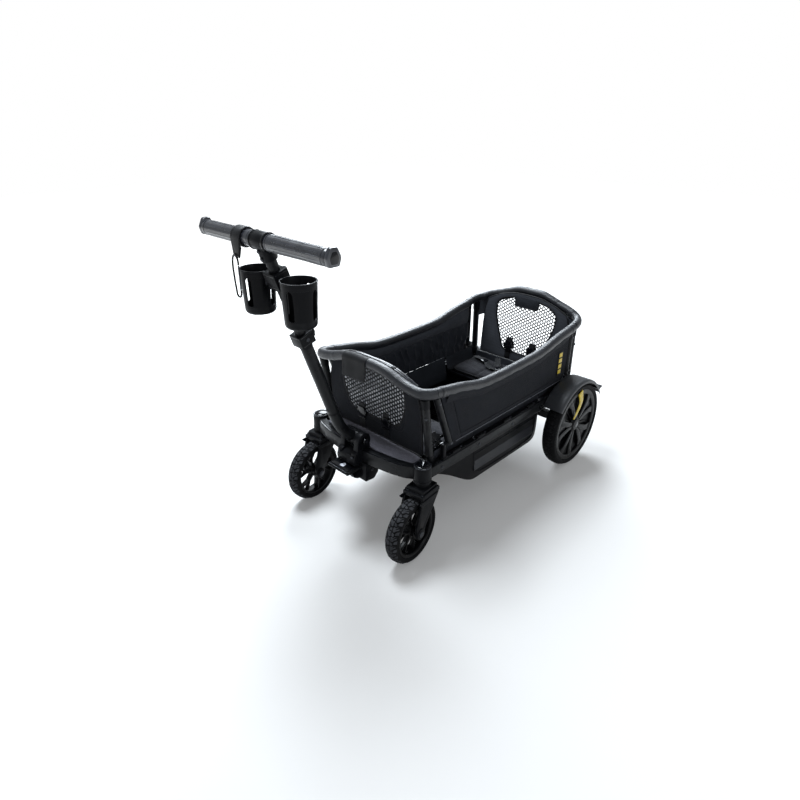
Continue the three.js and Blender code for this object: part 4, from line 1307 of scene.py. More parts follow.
def seat_pad(name, low, high, fabric):
    """A cushion with its channels, piping and stitches."""
    y0, y1 = y_of(low), y_of(high)
    outline = rounded([(-0.184, y0), (0.184, y0), (0.184, y1), (-0.184, y1)], 0.022, 8)
    obj = blank(f"{name}_seat_cushion", slab(outline, 0.2632, 0.2825))
    grid = obj.modifiers.new("Voxels", "REMESH")
    grid.mode, grid.voxel_size = "VOXEL", 0.0052
    settle(obj)
    swollen(obj, 18, 3.5, 0.006)
    channels = (-0.062, 0.062)
    across = (y0 + (y1 - y0) * 0.62,)
    co = np.array([v.co for v in obj.data.vertices])
    top = np.clip((co[:, 2] - 0.272) / 0.008, 0, 1)
    dip = sum(np.exp(-((co[:, 0] - c) / 0.0052) ** 2) for c in channels)
    dip = dip + sum(np.exp(-((co[:, 1] - c) / 0.0052) ** 2) for c in across)
    soft = np.array([wrinkle(p[0] * 17, p[1] * 19, 4.0 + y0) for p in co])
    fold = np.array([wrinkle(p[0] * 9 + p[1] * 30, p[1] * 8, 8.0 + y0) for p in co])
    co[:, 2] += top * (-0.0068 * np.minimum(dip, 1.2) + 0.0014 * soft + 0.0026 * np.abs(fold) - 0.0008)
    co[:, 2] = np.clip(co[:, 2], 0.2624, 0.2905)
    obj.data.vertices.foreach_set("co", co.astype(np.float32).ravel())
    skin = obj.modifiers.new("Skin", "SUBSURF")
    skin.levels = skin.render_levels = 1
    obj.data.materials.append(material("Seat fabric"))
    settle(obj)
    cushion = Piece(f"{name}_seat_cushion_pad", "chassis", "seat_fabric")
    cushion.take(obj)
    made = cushion.place(replaces=(f"{name}_seat_pad",), sharp=80)
    trim = Piece(f"{name}_seat_piping", "chassis", "seat_fabric")
    loop = np.array([(x * 1.003, y, 0.2745) for x, y in outline])
    trim.put(sweep(evenly(np.vstack([loop, loop[:1]]), 200)[:-1], oval(0.0023, count=8), side=(0, 0, 1),
        closed=True), "Webbing").place()
    lines = []
    for c in channels:
        lines.append([(c, y, 0.0) for y in np.linspace(y0 + 0.012, y1 - 0.012, 40)])
    for c in across:
        lines.append([(x, c, 0.0) for x in np.linspace(-0.172, 0.172, 80)])
    seams = []
    for line in lines:
        hits = [made.ray_cast(Vector((p[0], p[1], 0.4)), Vector((0, 0, -1))) for p in line]
        seams.append([h[1] + Vector((0, 0, 0.0003)) for h in hits if h[0]])
    sewn(f"{name}_seat_stitches", "chassis", "seat_fabric", seams, spacing=fabric.stitch_spacing)


def seat_harness(name, low, high, fabric):
    """Lap and crotch webbing lying in loose loops, with a buckle, under the folding end panel."""
    width = fabric.webbing_width
    back = low + 12 if name == "front" else high - 12
    toward = 1 if name == "front" else -1
    tape = oval(width / 2, 0.0009, 14, 5)
    webbing = Piece(f"{name}_harness", "chassis", "webbing")
    hub = (8, back + toward * 86, 304)
    runs = []
    for s in (-1, 1):
        runs.append([(s * 168, back + toward * 14, 290), (s * 140, back + toward * 30, 297),
            (s * 96, back + toward * (52 + 8 * s), 301), (s * 52, back + toward * 78, 296), (hub[0] + s * 18,
            hub[1], hub[2] - 3)])
        runs.append([(s * 54, back + toward * 2, 305), (s * 57, back + toward * 14, 309),
            (s * 50 + 4, back + toward * 34, 302), (s * 34 + 4, back + toward * 58, 299), (hub[0] + s * 12,
            hub[1] - toward * 10, hub[2] - 2)])
    runs.append([(hub[0], hub[1] + toward * 10, hub[2] - 2), (hub[0] - 6, hub[1] + toward * 30, 301),
        (hub[0] + 2, hub[1] + toward * 44, 293), (hub[0], hub[1] + toward * 50, 288)])
    for run in runs:
        path = smooth(line_at(run), 40)
        sides = np.gradient(path, axis=0)
        flat = np.cross(sides[0], (0, 0, 1))
        webbing.put(sweep(path, tape, side=flat / np.linalg.norm(flat)), "Webbing")
    made = webbing.place()
    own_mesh(made)
    buckle = Piece(f"{name}_harness_buckle", "chassis", "gloss_plastic")
    cx, cy, cz = at(*hub)
    body = rounded([(cx - 0.021, cy - 0.019), (cx + 0.021, cy - 0.019), (cx + 0.024, cy),
        (cx + 0.017, cy + 0.021), (cx - 0.017, cy + 0.021), (cx - 0.024, cy)], 0.006)
    buckle.put(slab(body, cz - 0.006, cz + 0.004), "Gloss plastic", bevel=0.0016)
    button = rounded([(cx - 0.01, cy - 0.01), (cx + 0.01, cy - 0.01), (cx + 0.01, cy + 0.01),
        (cx - 0.01, cy + 0.01)], 0.004)
    buckle.put(slab(button, cz + 0.0035, cz + 0.0058), "Black plastic", bevel=0.001)
    for s in (-1, 1):
        reach = sorted((y_of(back + toward * 40), y_of(back + toward * 62)))
        slide = block((s * 0.098 - 0.0135, s * 0.098 + 0.0135), reach, (0.2975, 0.3035))
        buckle.put(slide, "Gloss plastic", bevel=0.0014)
    crushed = buckle.place()
    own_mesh(crushed)


class WAGON_OT_seats(bpy.types.Operator):
    """Two sewn seat pads, puffed up by cloth pressure, with channels, piping and harness"""

    bl_idname = "wagon.seats"
    bl_label = "Seat pads and harness"

    def execute(self, context):
        fabric = context.scene.wagon_fabric
        for name, low, high in (("front", 68, 245), ("rear", 625, 785)):
            seat_pad(name, low, high, fabric)
            seat_harness(name, low, high, fabric)
        return {"FINISHED"}


def beam_arc(offset, half, count):
    """Plan of the bowed crossbeam, moved back by offset millimetres."""
    t = np.linspace(-half / 224, half / 224, count)
    return np.stack([t * 0.224, (-60 * np.sqrt(1 - 0.97 * t * t) + offset) / 1000 - ORIGIN], axis=1)


def front_apron(fabric):
    """The grey pad in front of the front seat, with its binding, stitches and patch."""
    front = beam_arc(27, 186, 110)
    rows = []
    for t in np.linspace(0, 1, 26):
        row = []
        for x, y in front:
            back = 0.0375 - ORIGIN
            here = y + (back - y) * t
            z = 0.2835 + 0.0065 * t ** 0.7 + 0.003 * math.sin(math.pi * t) * (1 - (x / 0.19) ** 2)
            z += wrinkle(x * 14, here * 20, 2.5) * 0.0016 + wrinkle(x * 40, here * 46, 6.5) * 0.0004
            z += -0.004 * max(0.0, (abs(x) - 0.15) / 0.036) ** 2
            row.append((x, here, z))
        rows.append(row)
    grid = np.array(rows)
    apron = Piece("front_apron", "chassis", "seat_fabric")
    apron.put(sheet_of(grid, 0.009, (0, 0, -1)), "Apron fabric", bevel=0.0012)
    made = apron.place(sharp=60)
    edge = Piece("front_apron_binding", "chassis", "webbing")
    edge.put(sweep(grid[0] + (0, 0.0004, -0.0006), oval(0.0024, count=8)), "Webbing")
    edge.put(sweep(grid[-1] + (0, -0.0004, 0.0), oval(0.0022, count=8)), "Webbing")
    edge.place()
    seams = [grid[2] + (0, 0, 0.0003), grid[-3] + (0, 0, 0.0003)]
    sewn("front_apron_stitches", "chassis", "seat_fabric", seams, spacing=fabric.stitch_spacing)
    patch = Piece("front_apron_patch", "chassis", "seat_fabric")
    lifted = grid[6:20, 38:52] + (0, 0, 0.0014)
    patch.put(sheet_of(lifted, 0.0012, (0, 0, -1)), "Patch fabric", bevel=0.0004).place()


def seat_decks():
    """The boards under the seats and the liner that hides their edges."""
    decks = Piece("seat_decks", "chassis", "black_plastic")
    for low, high in ((41, 249), (621, 828)):
        y = (y_of(low), y_of(high))
        decks.put(block((-0.2112, 0.2112), y, (0.2532, 0.2618)), "Black plastic", bevel=0.0012)
    riser = block((-0.189, 0.189), (0.0305 - ORIGIN, 0.0395 - ORIGIN), (0.2535, 0.2815))
    decks.put(riser, "Black plastic", bevel=0.0012)
    decks.place(replaces=("front_deck", "rear_deck"))
    liner = Piece("floor_liner", "chassis", "wall_fabric")
    for sign in (-1, 1):
        rows = []
        for k, (x, z) in enumerate(((0.216, 0.3105), (0.2135, 0.299), (0.211, 0.284), (0.205, 0.2665),
                (0.198, 0.2636), (0.19, 0.2632))):
            row = []
            for y in np.linspace(0.06, 0.792, 120):
                soft = wrinkle(y * 30, k * 0.7, sign * 3.0) * 0.0016
                row.append((sign * (x - abs(soft)), y - ORIGIN, z + soft * 0.4))
            rows.append(row)
        grid = np.array(rows)
        for a, b in ((0, 32), (92, 120)):
            liner.put(sheet_of(grid[:, a:b], 0.001, (-sign * 0.5, 0, 0.6)), "Liner fabric")
        # Between the seats the liner drops over the footwell's rim.
        drop = np.array([[(sign * x, y - ORIGIN, z) for y in np.linspace(0.252, 0.618, 60)]
            for x, z in ((0.216, 0.3105), (0.2135, 0.299), (0.211, 0.284), (0.207, 0.26), (0.203, 0.248),
            (0.2025, 0.22))])
        liner.put(sheet_of(drop, 0.001, (-sign, 0, 0)), "Liner fabric")
    back = [[(x, y_of(y), z) for x in np.linspace(-0.2, 0.2, 50)] for y, z in ((796, 0.264), (801, 0.2645),
        (804, 0.278), (806, 0.2915), (811, 0.2925), (826, 0.27))]
    liner.put(sheet_of(np.array(back), 0.0012, (0, 0, 1)), "Liner fabric")
    liner.place(sharp=60)


def footwell():
    """The sunk tub between the seats, its side ledges and ribs, and its mat."""
    under = [(60, 250), (75, 222), (106, 206), (147, 182), (193, 150), (235, 122), (268, 108), (606, 108),
        (628, 116), (638, 142), (640, 250)]
    inside = [(66, 250), (79, 225), (109, 210), (150, 186), (196, 154), (238, 126), (270, 112), (604, 112),
        (624, 120), (634, 144), (636, 250)]
    outer = evenly(rounded_open(under, 16), 90)
    inner = evenly(rounded_open(inside, 14), 90)
    shell = Piece("footwell_tub", "chassis", "black_plastic")
    # Floor skin: outer and inner runs joined at both rims.
    closed = np.vstack([outer, inner[::-1]])
    shell.put(slab(np.column_stack([closed[:, 0] / 1000 - ORIGIN, closed[:, 1] / 1000]), -0.204, 0.204, "x"),
        "Black plastic")
    wall = np.vstack([outer, [(640, 249.5), (60, 249.5)]])
    for s in (-1, 1):
        low, high = ordered(s, 0.2035, 0.2078)
        profile = np.column_stack([wall[:, 0] / 1000 - ORIGIN, wall[:, 1] / 1000])
        shell.put(slab(profile, low, high, "x"), "Black plastic", bevel=0.001)
    # A sloping ledge stands out between a dark recess and the bottom lip of each side.
    for s in (-1, 1):
        rows = []
        for out, z, start, end in ((0.208, 0.176, 268, 612), (0.2086, 0.174, 268, 612), (0.2106, 0.148, 268,
                610), (0.2112, 0.144, 268, 610), (0.2104, 0.1412, 268, 608), (0.208, 0.14, 268, 606)):
            rows.append([(s * out, y_of(y), z) for y in np.linspace(start, end, 40)])
        shell.put(sheet_of(np.array(rows), 0.001, (-s, 0, 0)), "Ledge plastic", bevel=0.0004)
        frame_lines = ([(262, 244), (272, 160), (282, 134), (300, 126), (596, 126), (616, 136), (622, 160),
            (626, 244)], [(268, 202), (620, 202)])
        for line in frame_lines:
            path = smooth([at(s * 208.2, y, z) for y, z in line], 60)
            shell.put(sweep(path, oval(0.0014, 0.0016, 8), side=(1, 0, 0)), "Black plastic")
        for y in (330, 396, 462, 528):
            rib = block(ordered(s, 0.2076, 0.2092), (y_of(y) - 0.0014, y_of(y) + 0.0014), (0.203, 0.244))
            shell.put(rib, "Black plastic", bevel=0.0006)
    shell.place(replaces=("footwell",), sharp=40)
    mat = Piece("footwell_mat", "chassis", "black_plastic")
    for y in np.linspace(y_of(282), y_of(594), 24):
        mat.put(block((-0.19, 0.19), (y - 0.0035, y + 0.0035), (0.1121, 0.1136)), "Wheel plastic",
            bevel=0.0005)
    mat.place()


def side_straps():
    """Adjuster webbing and slides at the open front corners, where the side wall folds."""
    for side, sign in SIDES:
        straps = Piece(f"corner_straps_{side}", "chassis", "webbing")
        slides = Piece(f"corner_slides_{side}", "chassis", "gloss_plastic")
        for k, (y, lean) in enumerate(((66, 4), (86, -6), (104, 8))):
            run = [(sign * 204, y, 287), (sign * 206, y + lean, 304), (sign * (202 - 3 * k), y - lean, 324),
                (sign * 207, y + lean * 0.4, 344), (sign * 203, y + 2, 366 - 14 * k)]
            path = smooth(line_at(run), 34)
            straps.put(sweep(path, oval(0.0085, 0.0008, 12, 5), side=(0, 1, 0)), "Webbing")
            for z in (300, 326):
                cy = y_of(y)
                x = ordered(sign, 0.2015, 0.2075)
                slides.put(block(x, (cy - 0.011, cy + 0.011), (z / 1000 + 0.004 * k,
                    z / 1000 + 0.004 * k + 0.007)), "Gloss plastic", bevel=0.0012)
        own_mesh(straps.place())
        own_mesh(slides.place())


class WAGON_OT_floor(bpy.types.Operator):
    """Grey apron, decks, floor liner, side straps and the footwell"""

    bl_idname = "wagon.floor"
    bl_label = "Floor and footwell"

    def execute(self, context):
        fabric = context.scene.wagon_fabric
        front_apron(fabric)
        seat_decks()
        footwell()
        side_straps()
        return {"FINISHED"}


# ---------------------------------------------------------------- chassis, brake and casters


def eased(name, finish, bevel=0.0012, steps=2):
    """A copy of one of the frame's nodes with its doubles merged and its edges rounded off."""
    obj = blank(name + "_eased", (np.zeros((0, 3)), []))
    shape = bmesh.new()
    shape.from_mesh(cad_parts[name].data)
    bmesh.ops.remove_doubles(shape, verts=shape.verts, dist=0.00002)
    bmesh.ops.dissolve_limit(shape, angle_limit=math.radians(0.6), verts=shape.verts, edges=shape.edges)
    for face in shape.faces:
        face.material_index = 0
    shape.to_mesh(obj.data)
    shape.free()
    obj.data.materials.clear()
    obj.data.materials.append(material(finish))
    return chamfer(obj, bevel, 33, steps)


def stand_in(name, body, slot, nodes, finish, bevel=0.0012):
    """A piece started from rounded copies of the frame's nodes, which it replaces."""
    piece = Piece(name, body, slot)
    piece.nodes = (nodes,) if isinstance(nodes, str) else nodes
    for n in piece.nodes:
        piece.take(eased(n, finish, bevel))
    return piece


def screw_head(centre, axis, outward=1, radius=0.0048, high=0.0026):
    """A low domed head with a socket, standing out along an axis."""
    profile = [(0, -0.001), (radius, -0.001), (radius, high * 0.45), (radius * 0.82, high),
        (radius * 0.52, high), (radius * 0.46, high * 0.35), (0, high * 0.35)]
    points, faces = turned([(r, h * outward) for r, h in profile], 16, axis)
    return points + np.array(centre, float), faces


def caster_sockets():
    """The bosses that carry the casters, with their domes and rings."""
    for side, sign in SIDES:
        boss = stand_in(f"caster_boss_{side}", "chassis", "black_plastic", (f"caster_socket_{side}",),
            "Black plastic", 0.0012)
        centre = (sign * SOCKET_X, -ORIGIN, 0)
        skirt = [(0.0258, 0.244), (0.0268, 0.2445), (0.0268, 0.25), (0.0258, 0.2506)]
        boss.put(turned(skirt, 48, "z", centre, closed=True), "Black plastic")
        boss.place()
        cap = Piece(f"caster_dome_{side}", "chassis", "gloss_plastic")
        low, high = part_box(f"caster_cap_{side}")
        r, z0, z1 = (high.x - low.x) / 2, low.z, high.z
        dome = [(0, z1)] + [(r * math.sin(a), z0 + (z1 - z0) * (0.12 + 0.88 * math.cos(a)))
            for a in np.linspace(0.16, math.pi / 2, 12)] + [(r, z0), (0, z0)]
        cap.put(turned(dome, 48, "z", centre), "Gloss plastic")
        cap.place(replaces=(f"caster_cap_{side}",))
        ring = Piece(f"caster_ring_{side}", "chassis", "gloss_plastic")
        lip = [(0.0215, 0.2925), (0.0252, 0.2925), (0.0256, 0.294), (0.0238, 0.2954), (0.0216, 0.295)]
        ring.put(turned(lip, 48, "z", centre, closed=True), "Glossy strip").place()


def wall_hinges():
    """The strips that the side walls fold on, with knuckles and screws."""
    for side, sign in SIDES:
        strip = stand_in(f"hinge_strip_{side}", "chassis", "frame_metal", f"wall_hinge_{side}",
            "Black plastic", 0.0009)
        for y in (140, 260, 400, 540, 680):
            knuckle = [(0.0, -0.018), (0.0038, -0.018), (0.0042, -0.016), (0.0042, 0.016), (0.0038, 0.018),
                (0, 0.018)]
            strip.put(turned(knuckle, 18, "y", at(sign * 232.5, y, 286.5)), "Black plastic")
            strip.screws([at(sign * 226, y + 30, 284)], "z", 1, 0.0038, 0.002)
        strip.place()


class WAGON_OT_chassis(bpy.types.Operator):
    """Rails, beams, sockets, caps, hinge strips and axle"""

    bl_idname = "wagon.chassis"
    bl_label = "Chassis"

    def execute(self, context):
        sides = stand_in("chassis_rails", "chassis", "frame_metal", ("chassis_rail_left",
            "chassis_rail_right"), "Frame metal", 0.003)
        for _, sign in SIDES:
            line = [at(sign * 232, 60, 278.8), at(sign * 232, 850, 278.8)]
            sides.put(sweep(line, oval(0.0035, 0.0009, 12), side=(1, 0, 0)), "Gloss plastic")
            sides.screws([at(sign * 238, y, 262) for y in (70, 250, 430, 700, 838)], "x", sign)
        sides.place()
        beams = stand_in("chassis_crossbeams", "chassis", "frame_metal", ("front_crossbeam",
            "rear_crossbeam"), "Frame metal", 0.003)
        plan = beam_arc(0, 188, 90)
        line = np.column_stack([plan, np.full(90, 0.2876)]) + (0, 0.0035, 0)
        beams.put(sweep(line, oval(0.0028, 0.0009, 12), side=(0, 1, 0)), "Gloss plastic")
        beams.screws([at(x, 856, 266) for x in (-150, -75, 75, 150)], "y", 1)
        beams.place()
        caster_sockets()
        wall_hinges()
        axle = stand_in("rear_axle_assembly", "chassis", "frame_metal", "rear_axle_beam", "Frame metal",
            0.0025)
        for _, sign in SIDES:
            bolts = [at(sign * 236, y, z) for y, z in ((737, 222), (763, 222), (750, 190))]
            axle.screws(bolts, "x", sign, 0.0062, 0.0036)
            for z in (178, 206, 234):
                rib = block(ordered(sign, 0.2358, 0.2374), (y_of(729), y_of(771)), (z / 1000 - 0.0015,
                    z / 1000 + 0.0015))
                axle.put(rib, "Black plastic", bevel=0.0006)
        axle.place()
        return {"FINISHED"}


class WAGON_OT_brake(bpy.types.Operator):
    """Foot pedal with a plain lock mark and its two sliding pins"""

    bl_idname = "wagon.brake"
    bl_label = "Brake"

    def execute(self, context):
        pedal = stand_in("brake_foot_pedal", "brake_pedal", "black_plastic", "brake_pedal", "Black plastic",
            0.0016)
        low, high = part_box("brake_pedal")
        edge = block((low.x + 0.004, high.x - 0.004), (low.y + 0.0005, low.y + 0.0055), (high.z - 0.001,
            high.z))
        pedal.put(edge, "Glossy strip", bevel=0.0004)
        top = high.z
        field = rounded([(low.x + 0.008, low.y + 0.009), (high.x - 0.008, low.y + 0.009), (high.x - 0.008,
            low.y + 0.04), (low.x + 0.008, low.y + 0.04)], 0.004)
        pedal.put(slab(field, top - 0.001, top + 0.0006), "Gloss plastic", bevel=0.0004)
        cx, cy = 0.0, low.y + 0.0225
        pedal.put(slab(rounded([(cx - 0.0075, cy - 0.008), (cx + 0.0075, cy - 0.008),
            (cx + 0.0075, cy + 0.0015), (cx - 0.0075, cy + 0.0015)], 0.001), top + 0.0004, top + 0.0009),
            "White print")
        arc = [(cx + 0.005 * math.cos(a), cy + 0.0018 + 0.0062 * math.sin(a),
            top + 0.0007) for a in np.linspace(0, math.pi, 14)]
        pedal.put(sweep(arc, oval(0.0003, 0.0012, 8), side=(0, 0, 1)), "White print")
        pedal.place()
        for side, _ in SIDES:
            pin = stand_in(f"brake_slide_{side}", f"brake_pin_{side}", "black_steel", f"brake_pin_{side}",
                "Bare steel", 0.0006)
            pin.place()
        return {"FINISHED"}


def caster_frame(sign):
    """Carries a shape drawn round a straight caster, at the swivel axis, to its turned place."""
    return Matrix.Translation((sign * SOCKET_X, -ORIGIN, 0)) @ Matrix.Rotation(CASTER_YAW, 4, "Z")


class WAGON_OT_casters(bpy.types.Operator):
    """Swivel forks with stepped crowns, bolts and front axles"""

    bl_idname = "wagon.casters"
    bl_label = "Casters"

    def execute(self, context):
        for side, sign in SIDES:
            body, place = f"caster_{side}", caster_frame(sign)
            fork = stand_in(f"caster_fork_shell_{side}", body, "black_plastic", (f"caster_fork_{side}",),
                "Black plastic", 0.0022)
            neck = [(0.0, 0.2398), (0.0195, 0.2398), (0.02, 0.238), (0.0205, 0.234), (0.0225, 0.2325),
                (0.0265, 0.232), (0.0275, 0.23), (0.0275, 0.228), (0, 0.228)]
            fork.put(moved(turned(neck, 40), place), "Black plastic")
            for s in (-1, 1):
                # A lower tier of the crown hangs over the top of each leg, and a boss stands round the axle.
                tier = [(-0.06, 0.2075), (0.03, 0.2075), (0.026, 0.1985), (-0.004, 0.19), (-0.05, 0.195)]
                low, high = ordered(s, 0.0345, 0.0374)
                fork.put(moved(slab(rounded(tier, 0.003), low, high, "x"), place), "Black plastic",
                    bevel=0.0012)
                boss = [(0, 0.0348), (0.0168, 0.0348), (0.0168, 0.0366), (0.015, 0.0378), (0, 0.0378)]
                shaped, faces = turned([(r, h * s) for r, h in boss], 28, "x", (0, -CASTER_TRAIL, 0.101))
                fork.put(moved((shaped, faces), place), "Black plastic")
            for y in (-0.034, 0.026):
                for x in (-0.026, 0.026):
                    fork.put(moved(screw_head((x, y, 0.2198), "z", 1, 0.0042, 0.0024), place), "Bare steel")
            fork.place()
            axle = stand_in(f"front_axle_bolt_{side}", body, "black_steel", f"front_axle_{side}",
                "Bare steel", 0.0012)
            axle.place()
        return {"FINISHED"}


# ---------------------------------------------------------------- wheels and fenders


def fall(across, half):
    """How far, in metres, a tyre's surface has dropped below its crown at that distance from the middle."""
    return 0.0075 * (min(1.0, abs(across) / half)) ** 3.2


def tread_bar(outline, base, crown, half):
    """One tread block from its plan, (across, around) in millimetres, bent onto the tyre."""
    low, high = [], []
    middle = np.mean(outline, axis=0)
    for across, around in outline:
        lug = (crown - base) * (1 - 0.75 * (abs(across) / half) ** 3)
        drop = fall(across, half)
        for radius, store, shrink in ((base - drop - 0.0012, low, 1.0), (base + lug - drop, high, 0.9)):
            x = (middle[0] + (across - middle[0]) * shrink) / 1000
            turn = (middle[1] + (around - middle[1]) * shrink) / 1000 / crown
            store.append((x, radius * math.sin(turn), radius * math.cos(turn)))
    return rings([np.array(low), np.array(high)])


def spoke_ring(shape, bevel, count, start, place):
    """Rounded copies of a spoke all round the axle, carried to the wheel's place."""
    part = chamfer(blank("spoke", shape, "Wheel plastic"), bevel, 30)
    arms = grown(part, round_axis_tree(), "Wheel plastic", Count=count, Start_angle=start)
    arms.data.transform(place)
    return arms


def treaded_tyre(body, side, name, place, crown, rim, half, lugs, sizes):
    """A tyre with two beads and three kinds of tread block on each half."""
    base = crown - sizes.lug_height * (1.0 if name == "front" else 0.55)
    h = half / 1000
    section = [(rim - 0.0015, -0.74 * h), (rim + 0.001, -0.86 * h), (rim + 0.004, -0.93 * h),
        (rim + 0.35 * (base - rim), -0.99 * h), (base - 0.0095, -0.985 * h)]
    section += [(base - fall(k * half, half), -k * h) for k in (0.95, 0.86, 0.74, 0.6, 0.4, 0.2, 0.0)]
    section = section + [(r, -x) for r, x in section[-2::-1]]
    tyre = Piece(f"{name}_tyre_{side}_treaded", body, "tyre_rubber")
    tyre.put(moved(turned(section, 128, "x", closed=True), place), "Tyre rubber")
    for x in (-0.9 * h, 0.9 * h):
        bead = [(rim + 0.0042, x - 0.0012), (rim + 0.006, x * 1.02), (rim + 0.0042, x + 0.0012)]
        tyre.put(moved(turned(bead, 96, "x", closed=True), place), "Tyre rubber")
    pitch = 2 * math.pi * crown * 1000 / lugs
    k = half / 22.5
    plans = []
    for s in (-1, 1):
        shift = 0.0 if s < 0 else pitch / 2
        arm = [(0.9, -6.0), (4.5, -9.0), (8.5, -6.5), (12.5, -1.0), (21.4, 3.5), (21.4, 13.8), (13.5, 10.2),
            (7.5, 5.6), (3.8, 7.4), (0.9, 6.0)]
        outside = [(10.8, 17.2), (12.6, 14.0), (21.2, 17.0), (21.2, 28.6), (14.6, 24.6)]
        middle = [(0.9, 8.8), (3.8, 10.2), (8.0, 8.4), (9.6, 12.0), (8.4, 16.6), (4.2, 17.2), (0.9, 19.0)]
        for plan in (arm, outside, middle):
            plans.append([(s * x * k, a + shift) for x, a in plan][::s])
    for plan in plans:
        shape = tread_bar(plan, base, crown, half)
        ring = ring_of(shape, "Tread rubber" if name == "front" else "Tyre rubber", lugs, (0, 0, 0))
        ring.data.transform(place)
        tyre.take(ring)
    made = tyre.place(replaces=(f"{name}_tyre_{side}",), sharp=32)
    outward(made)


def front_rim(side, place, sizes):
    """A front rim with its hub, collars and forked spokes."""
    rim = Piece(f"front_rim_{side}_spoked", f"front_wheel_{side}", "wheel_plastic")
    ring = [(0.07, -0.006), (0.071, -0.016), (0.074, -0.019), (0.079, -0.019), (0.08, -0.0175),
        (0.08, 0.0175), (0.079, 0.019), (0.074, 0.019), (0.071, 0.016), (0.07, 0.006)]
    rim.put(moved(turned(ring, 96, "x", closed=True), place), "Wheel plastic")
    hub = [(0.0066, -0.0215), (0.014, -0.0215), (0.0165, -0.0195), (0.017, -0.01), (0.02, -0.007),
        (0.02, 0.007), (0.017, 0.01), (0.0165, 0.0195), (0.014, 0.0215), (0.0066, 0.0215)]
    rim.put(moved(turned(hub, 48, "x", closed=True), place), "Wheel plastic")
    collar = [(0.0085, 0.0205), (0.0128, 0.0205), (0.0128, 0.0222), (0.0085, 0.0222)]
    for s in (-1, 1):
        rim.put(moved(turned([(r, s * x) for r, x in collar], 32, "x", closed=True), place), "Gloss plastic")
    stem = [(-0.005, 0.0165), (0.005, 0.0165), (0.004, 0.042), (-0.004, 0.042)]
    shapes = [slab(stem, -0.0085, 0.0085, "x")]
    for a in (-1, 1):
        branch = [(a * 0.0002, 0.0385), (a * 0.0048, 0.0385), (a * 0.0185, 0.0695), (a * 0.013, 0.0718)]
        shapes.append(slab(branch, -0.0075, 0.0075, "x"))
    for shape in shapes:
        rim.take(spoke_ring(shape, 0.0012, sizes.front_spokes, 0.3, place))
    outward(rim.place(replaces=(f"front_rim_{side}",)))


def rear_rim(side, place, sizes):
    """A rear rim with its dish, hub, cap, blades and ribs, and the accent strip on one spoke."""
    rim = Piece(f"rear_rim_{side}_spoked", f"rear_wheel_{side}", "wheel_plastic")
    ring = [(0.118, -0.012), (0.1195, -0.0205), (0.124, -0.0225), (0.135, -0.0225), (0.136, -0.0205),
        (0.136, 0.0205), (0.135, 0.0225), (0.124, 0.0225), (0.1195, 0.0205), (0.118, 0.012)]
    rim.put(moved(turned(ring, 128, "x", closed=True), place), "Wheel plastic")
    dish = [(0.02, 0.002), (0.04, 0.003), (0.095, 0.0075), (0.1195, 0.0125), (0.1195, 0.008), (0.095, 0.003),
        (0.04, -0.001), (0.02, -0.002)]
    rim.put(moved(turned(dish, 128, "x", closed=True), place), "Wheel plastic")
    hub = [(0.0095, -0.025), (0.021, -0.025), (0.0225, -0.023), (0.0235, 0.0), (0.03, 0.006), (0.03, 0.0145),
        (0.027, 0.0185), (0.0215, 0.0205), (0.0195, 0.0225), (0.0125, 0.0235), (0.0095, 0.0228)]
    rim.put(moved(turned(hub, 64, "x", closed=True), place), "Wheel plastic")
    cap = [(0, 0.0254), (0.007, 0.0252), (0.0105, 0.024), (0.0118, 0.0222), (0, 0.0222)]
    rim.put(moved(turned(cap, 40, "x"), place), "Gloss plastic")
    for shape, bevel in rear_spokes():
        rim.take(spoke_ring(shape, bevel, sizes.rear_spokes, 0.19, place))
    rib = block((0.0046, 0.0105), (-0.0011, 0.0011), (0.03, 0.119))
    ribs = ring_of(rib, "Wheel plastic", sizes.rear_spokes * 4, (0, 0, 0), 0.07)
    ribs.data.transform(place)
    rim.take(ribs)
    outward(rim.place(replaces=(f"rear_rim_{side}",)))
    # A bent accent strip stands on one spoke, from beside the hub to the rim.
    accent = Piece(f"rear_wheel_accent_{side}", f"rear_wheel_{side}", "yellow_accent")
    line = [(-0.029, 0.033), (-0.012, 0.052), (0.009, 0.089), (0.004, 0.112), (-0.006, 0.134)]
    wide = [0.005, 0.008, 0.0098, 0.0125, 0.0148]
    path = smooth(np.array([(0.0246 + 0.0004 * k, y, z) for k, (y, z) in enumerate(line)]), 26)
    sizes_along = np.interp(np.linspace(0, 4, 26), range(5), wide) / 0.01
    accent.put(moved(sweep(path, [(-0.0012, -0.01), (0.0012, -0.0085), (0.0012, 0.0085), (-0.0012, 0.01)],
        side=(1, 0, 0), sizes=sizes_along), place), "Yellow accent", bevel=0.0005)
    outward(accent.place())


class WAGON_OT_wheels(bpy.types.Operator):
    """Treaded tyres and spoked rims, front and rear"""

    bl_idname = "wagon.wheels"
    bl_label = "Wheels"

    def execute(self, context):
        sizes = context.scene.wagon_wheels
        for side, sign in SIDES:
            turn = Matrix.Rotation(CASTER_YAW, 4, "Z")
            hub = caster_frame(sign) @ Vector((0, -CASTER_TRAIL, FRONT_RADIUS))
            place = Matrix.Translation(hub) @ turn
            treaded_tyre(f"front_wheel_{side}", side, "front", place, FRONT_RADIUS, 0.08, 22.5,
                sizes.front_lugs, sizes)
            front_rim(side, place, sizes)
            place = Matrix.Translation((sign * REAR_X, y_of(REAR_AXLE), REAR_RADIUS))
            place = place @ Matrix.Diagonal((sign, 1, 1, 1))
            treaded_tyre(f"rear_wheel_{side}", side, "rear", place, REAR_RADIUS, 0.136, 26.0,
                sizes.rear_lugs, sizes)
            rear_rim(side, place, sizes)
        return {"FINISHED"}


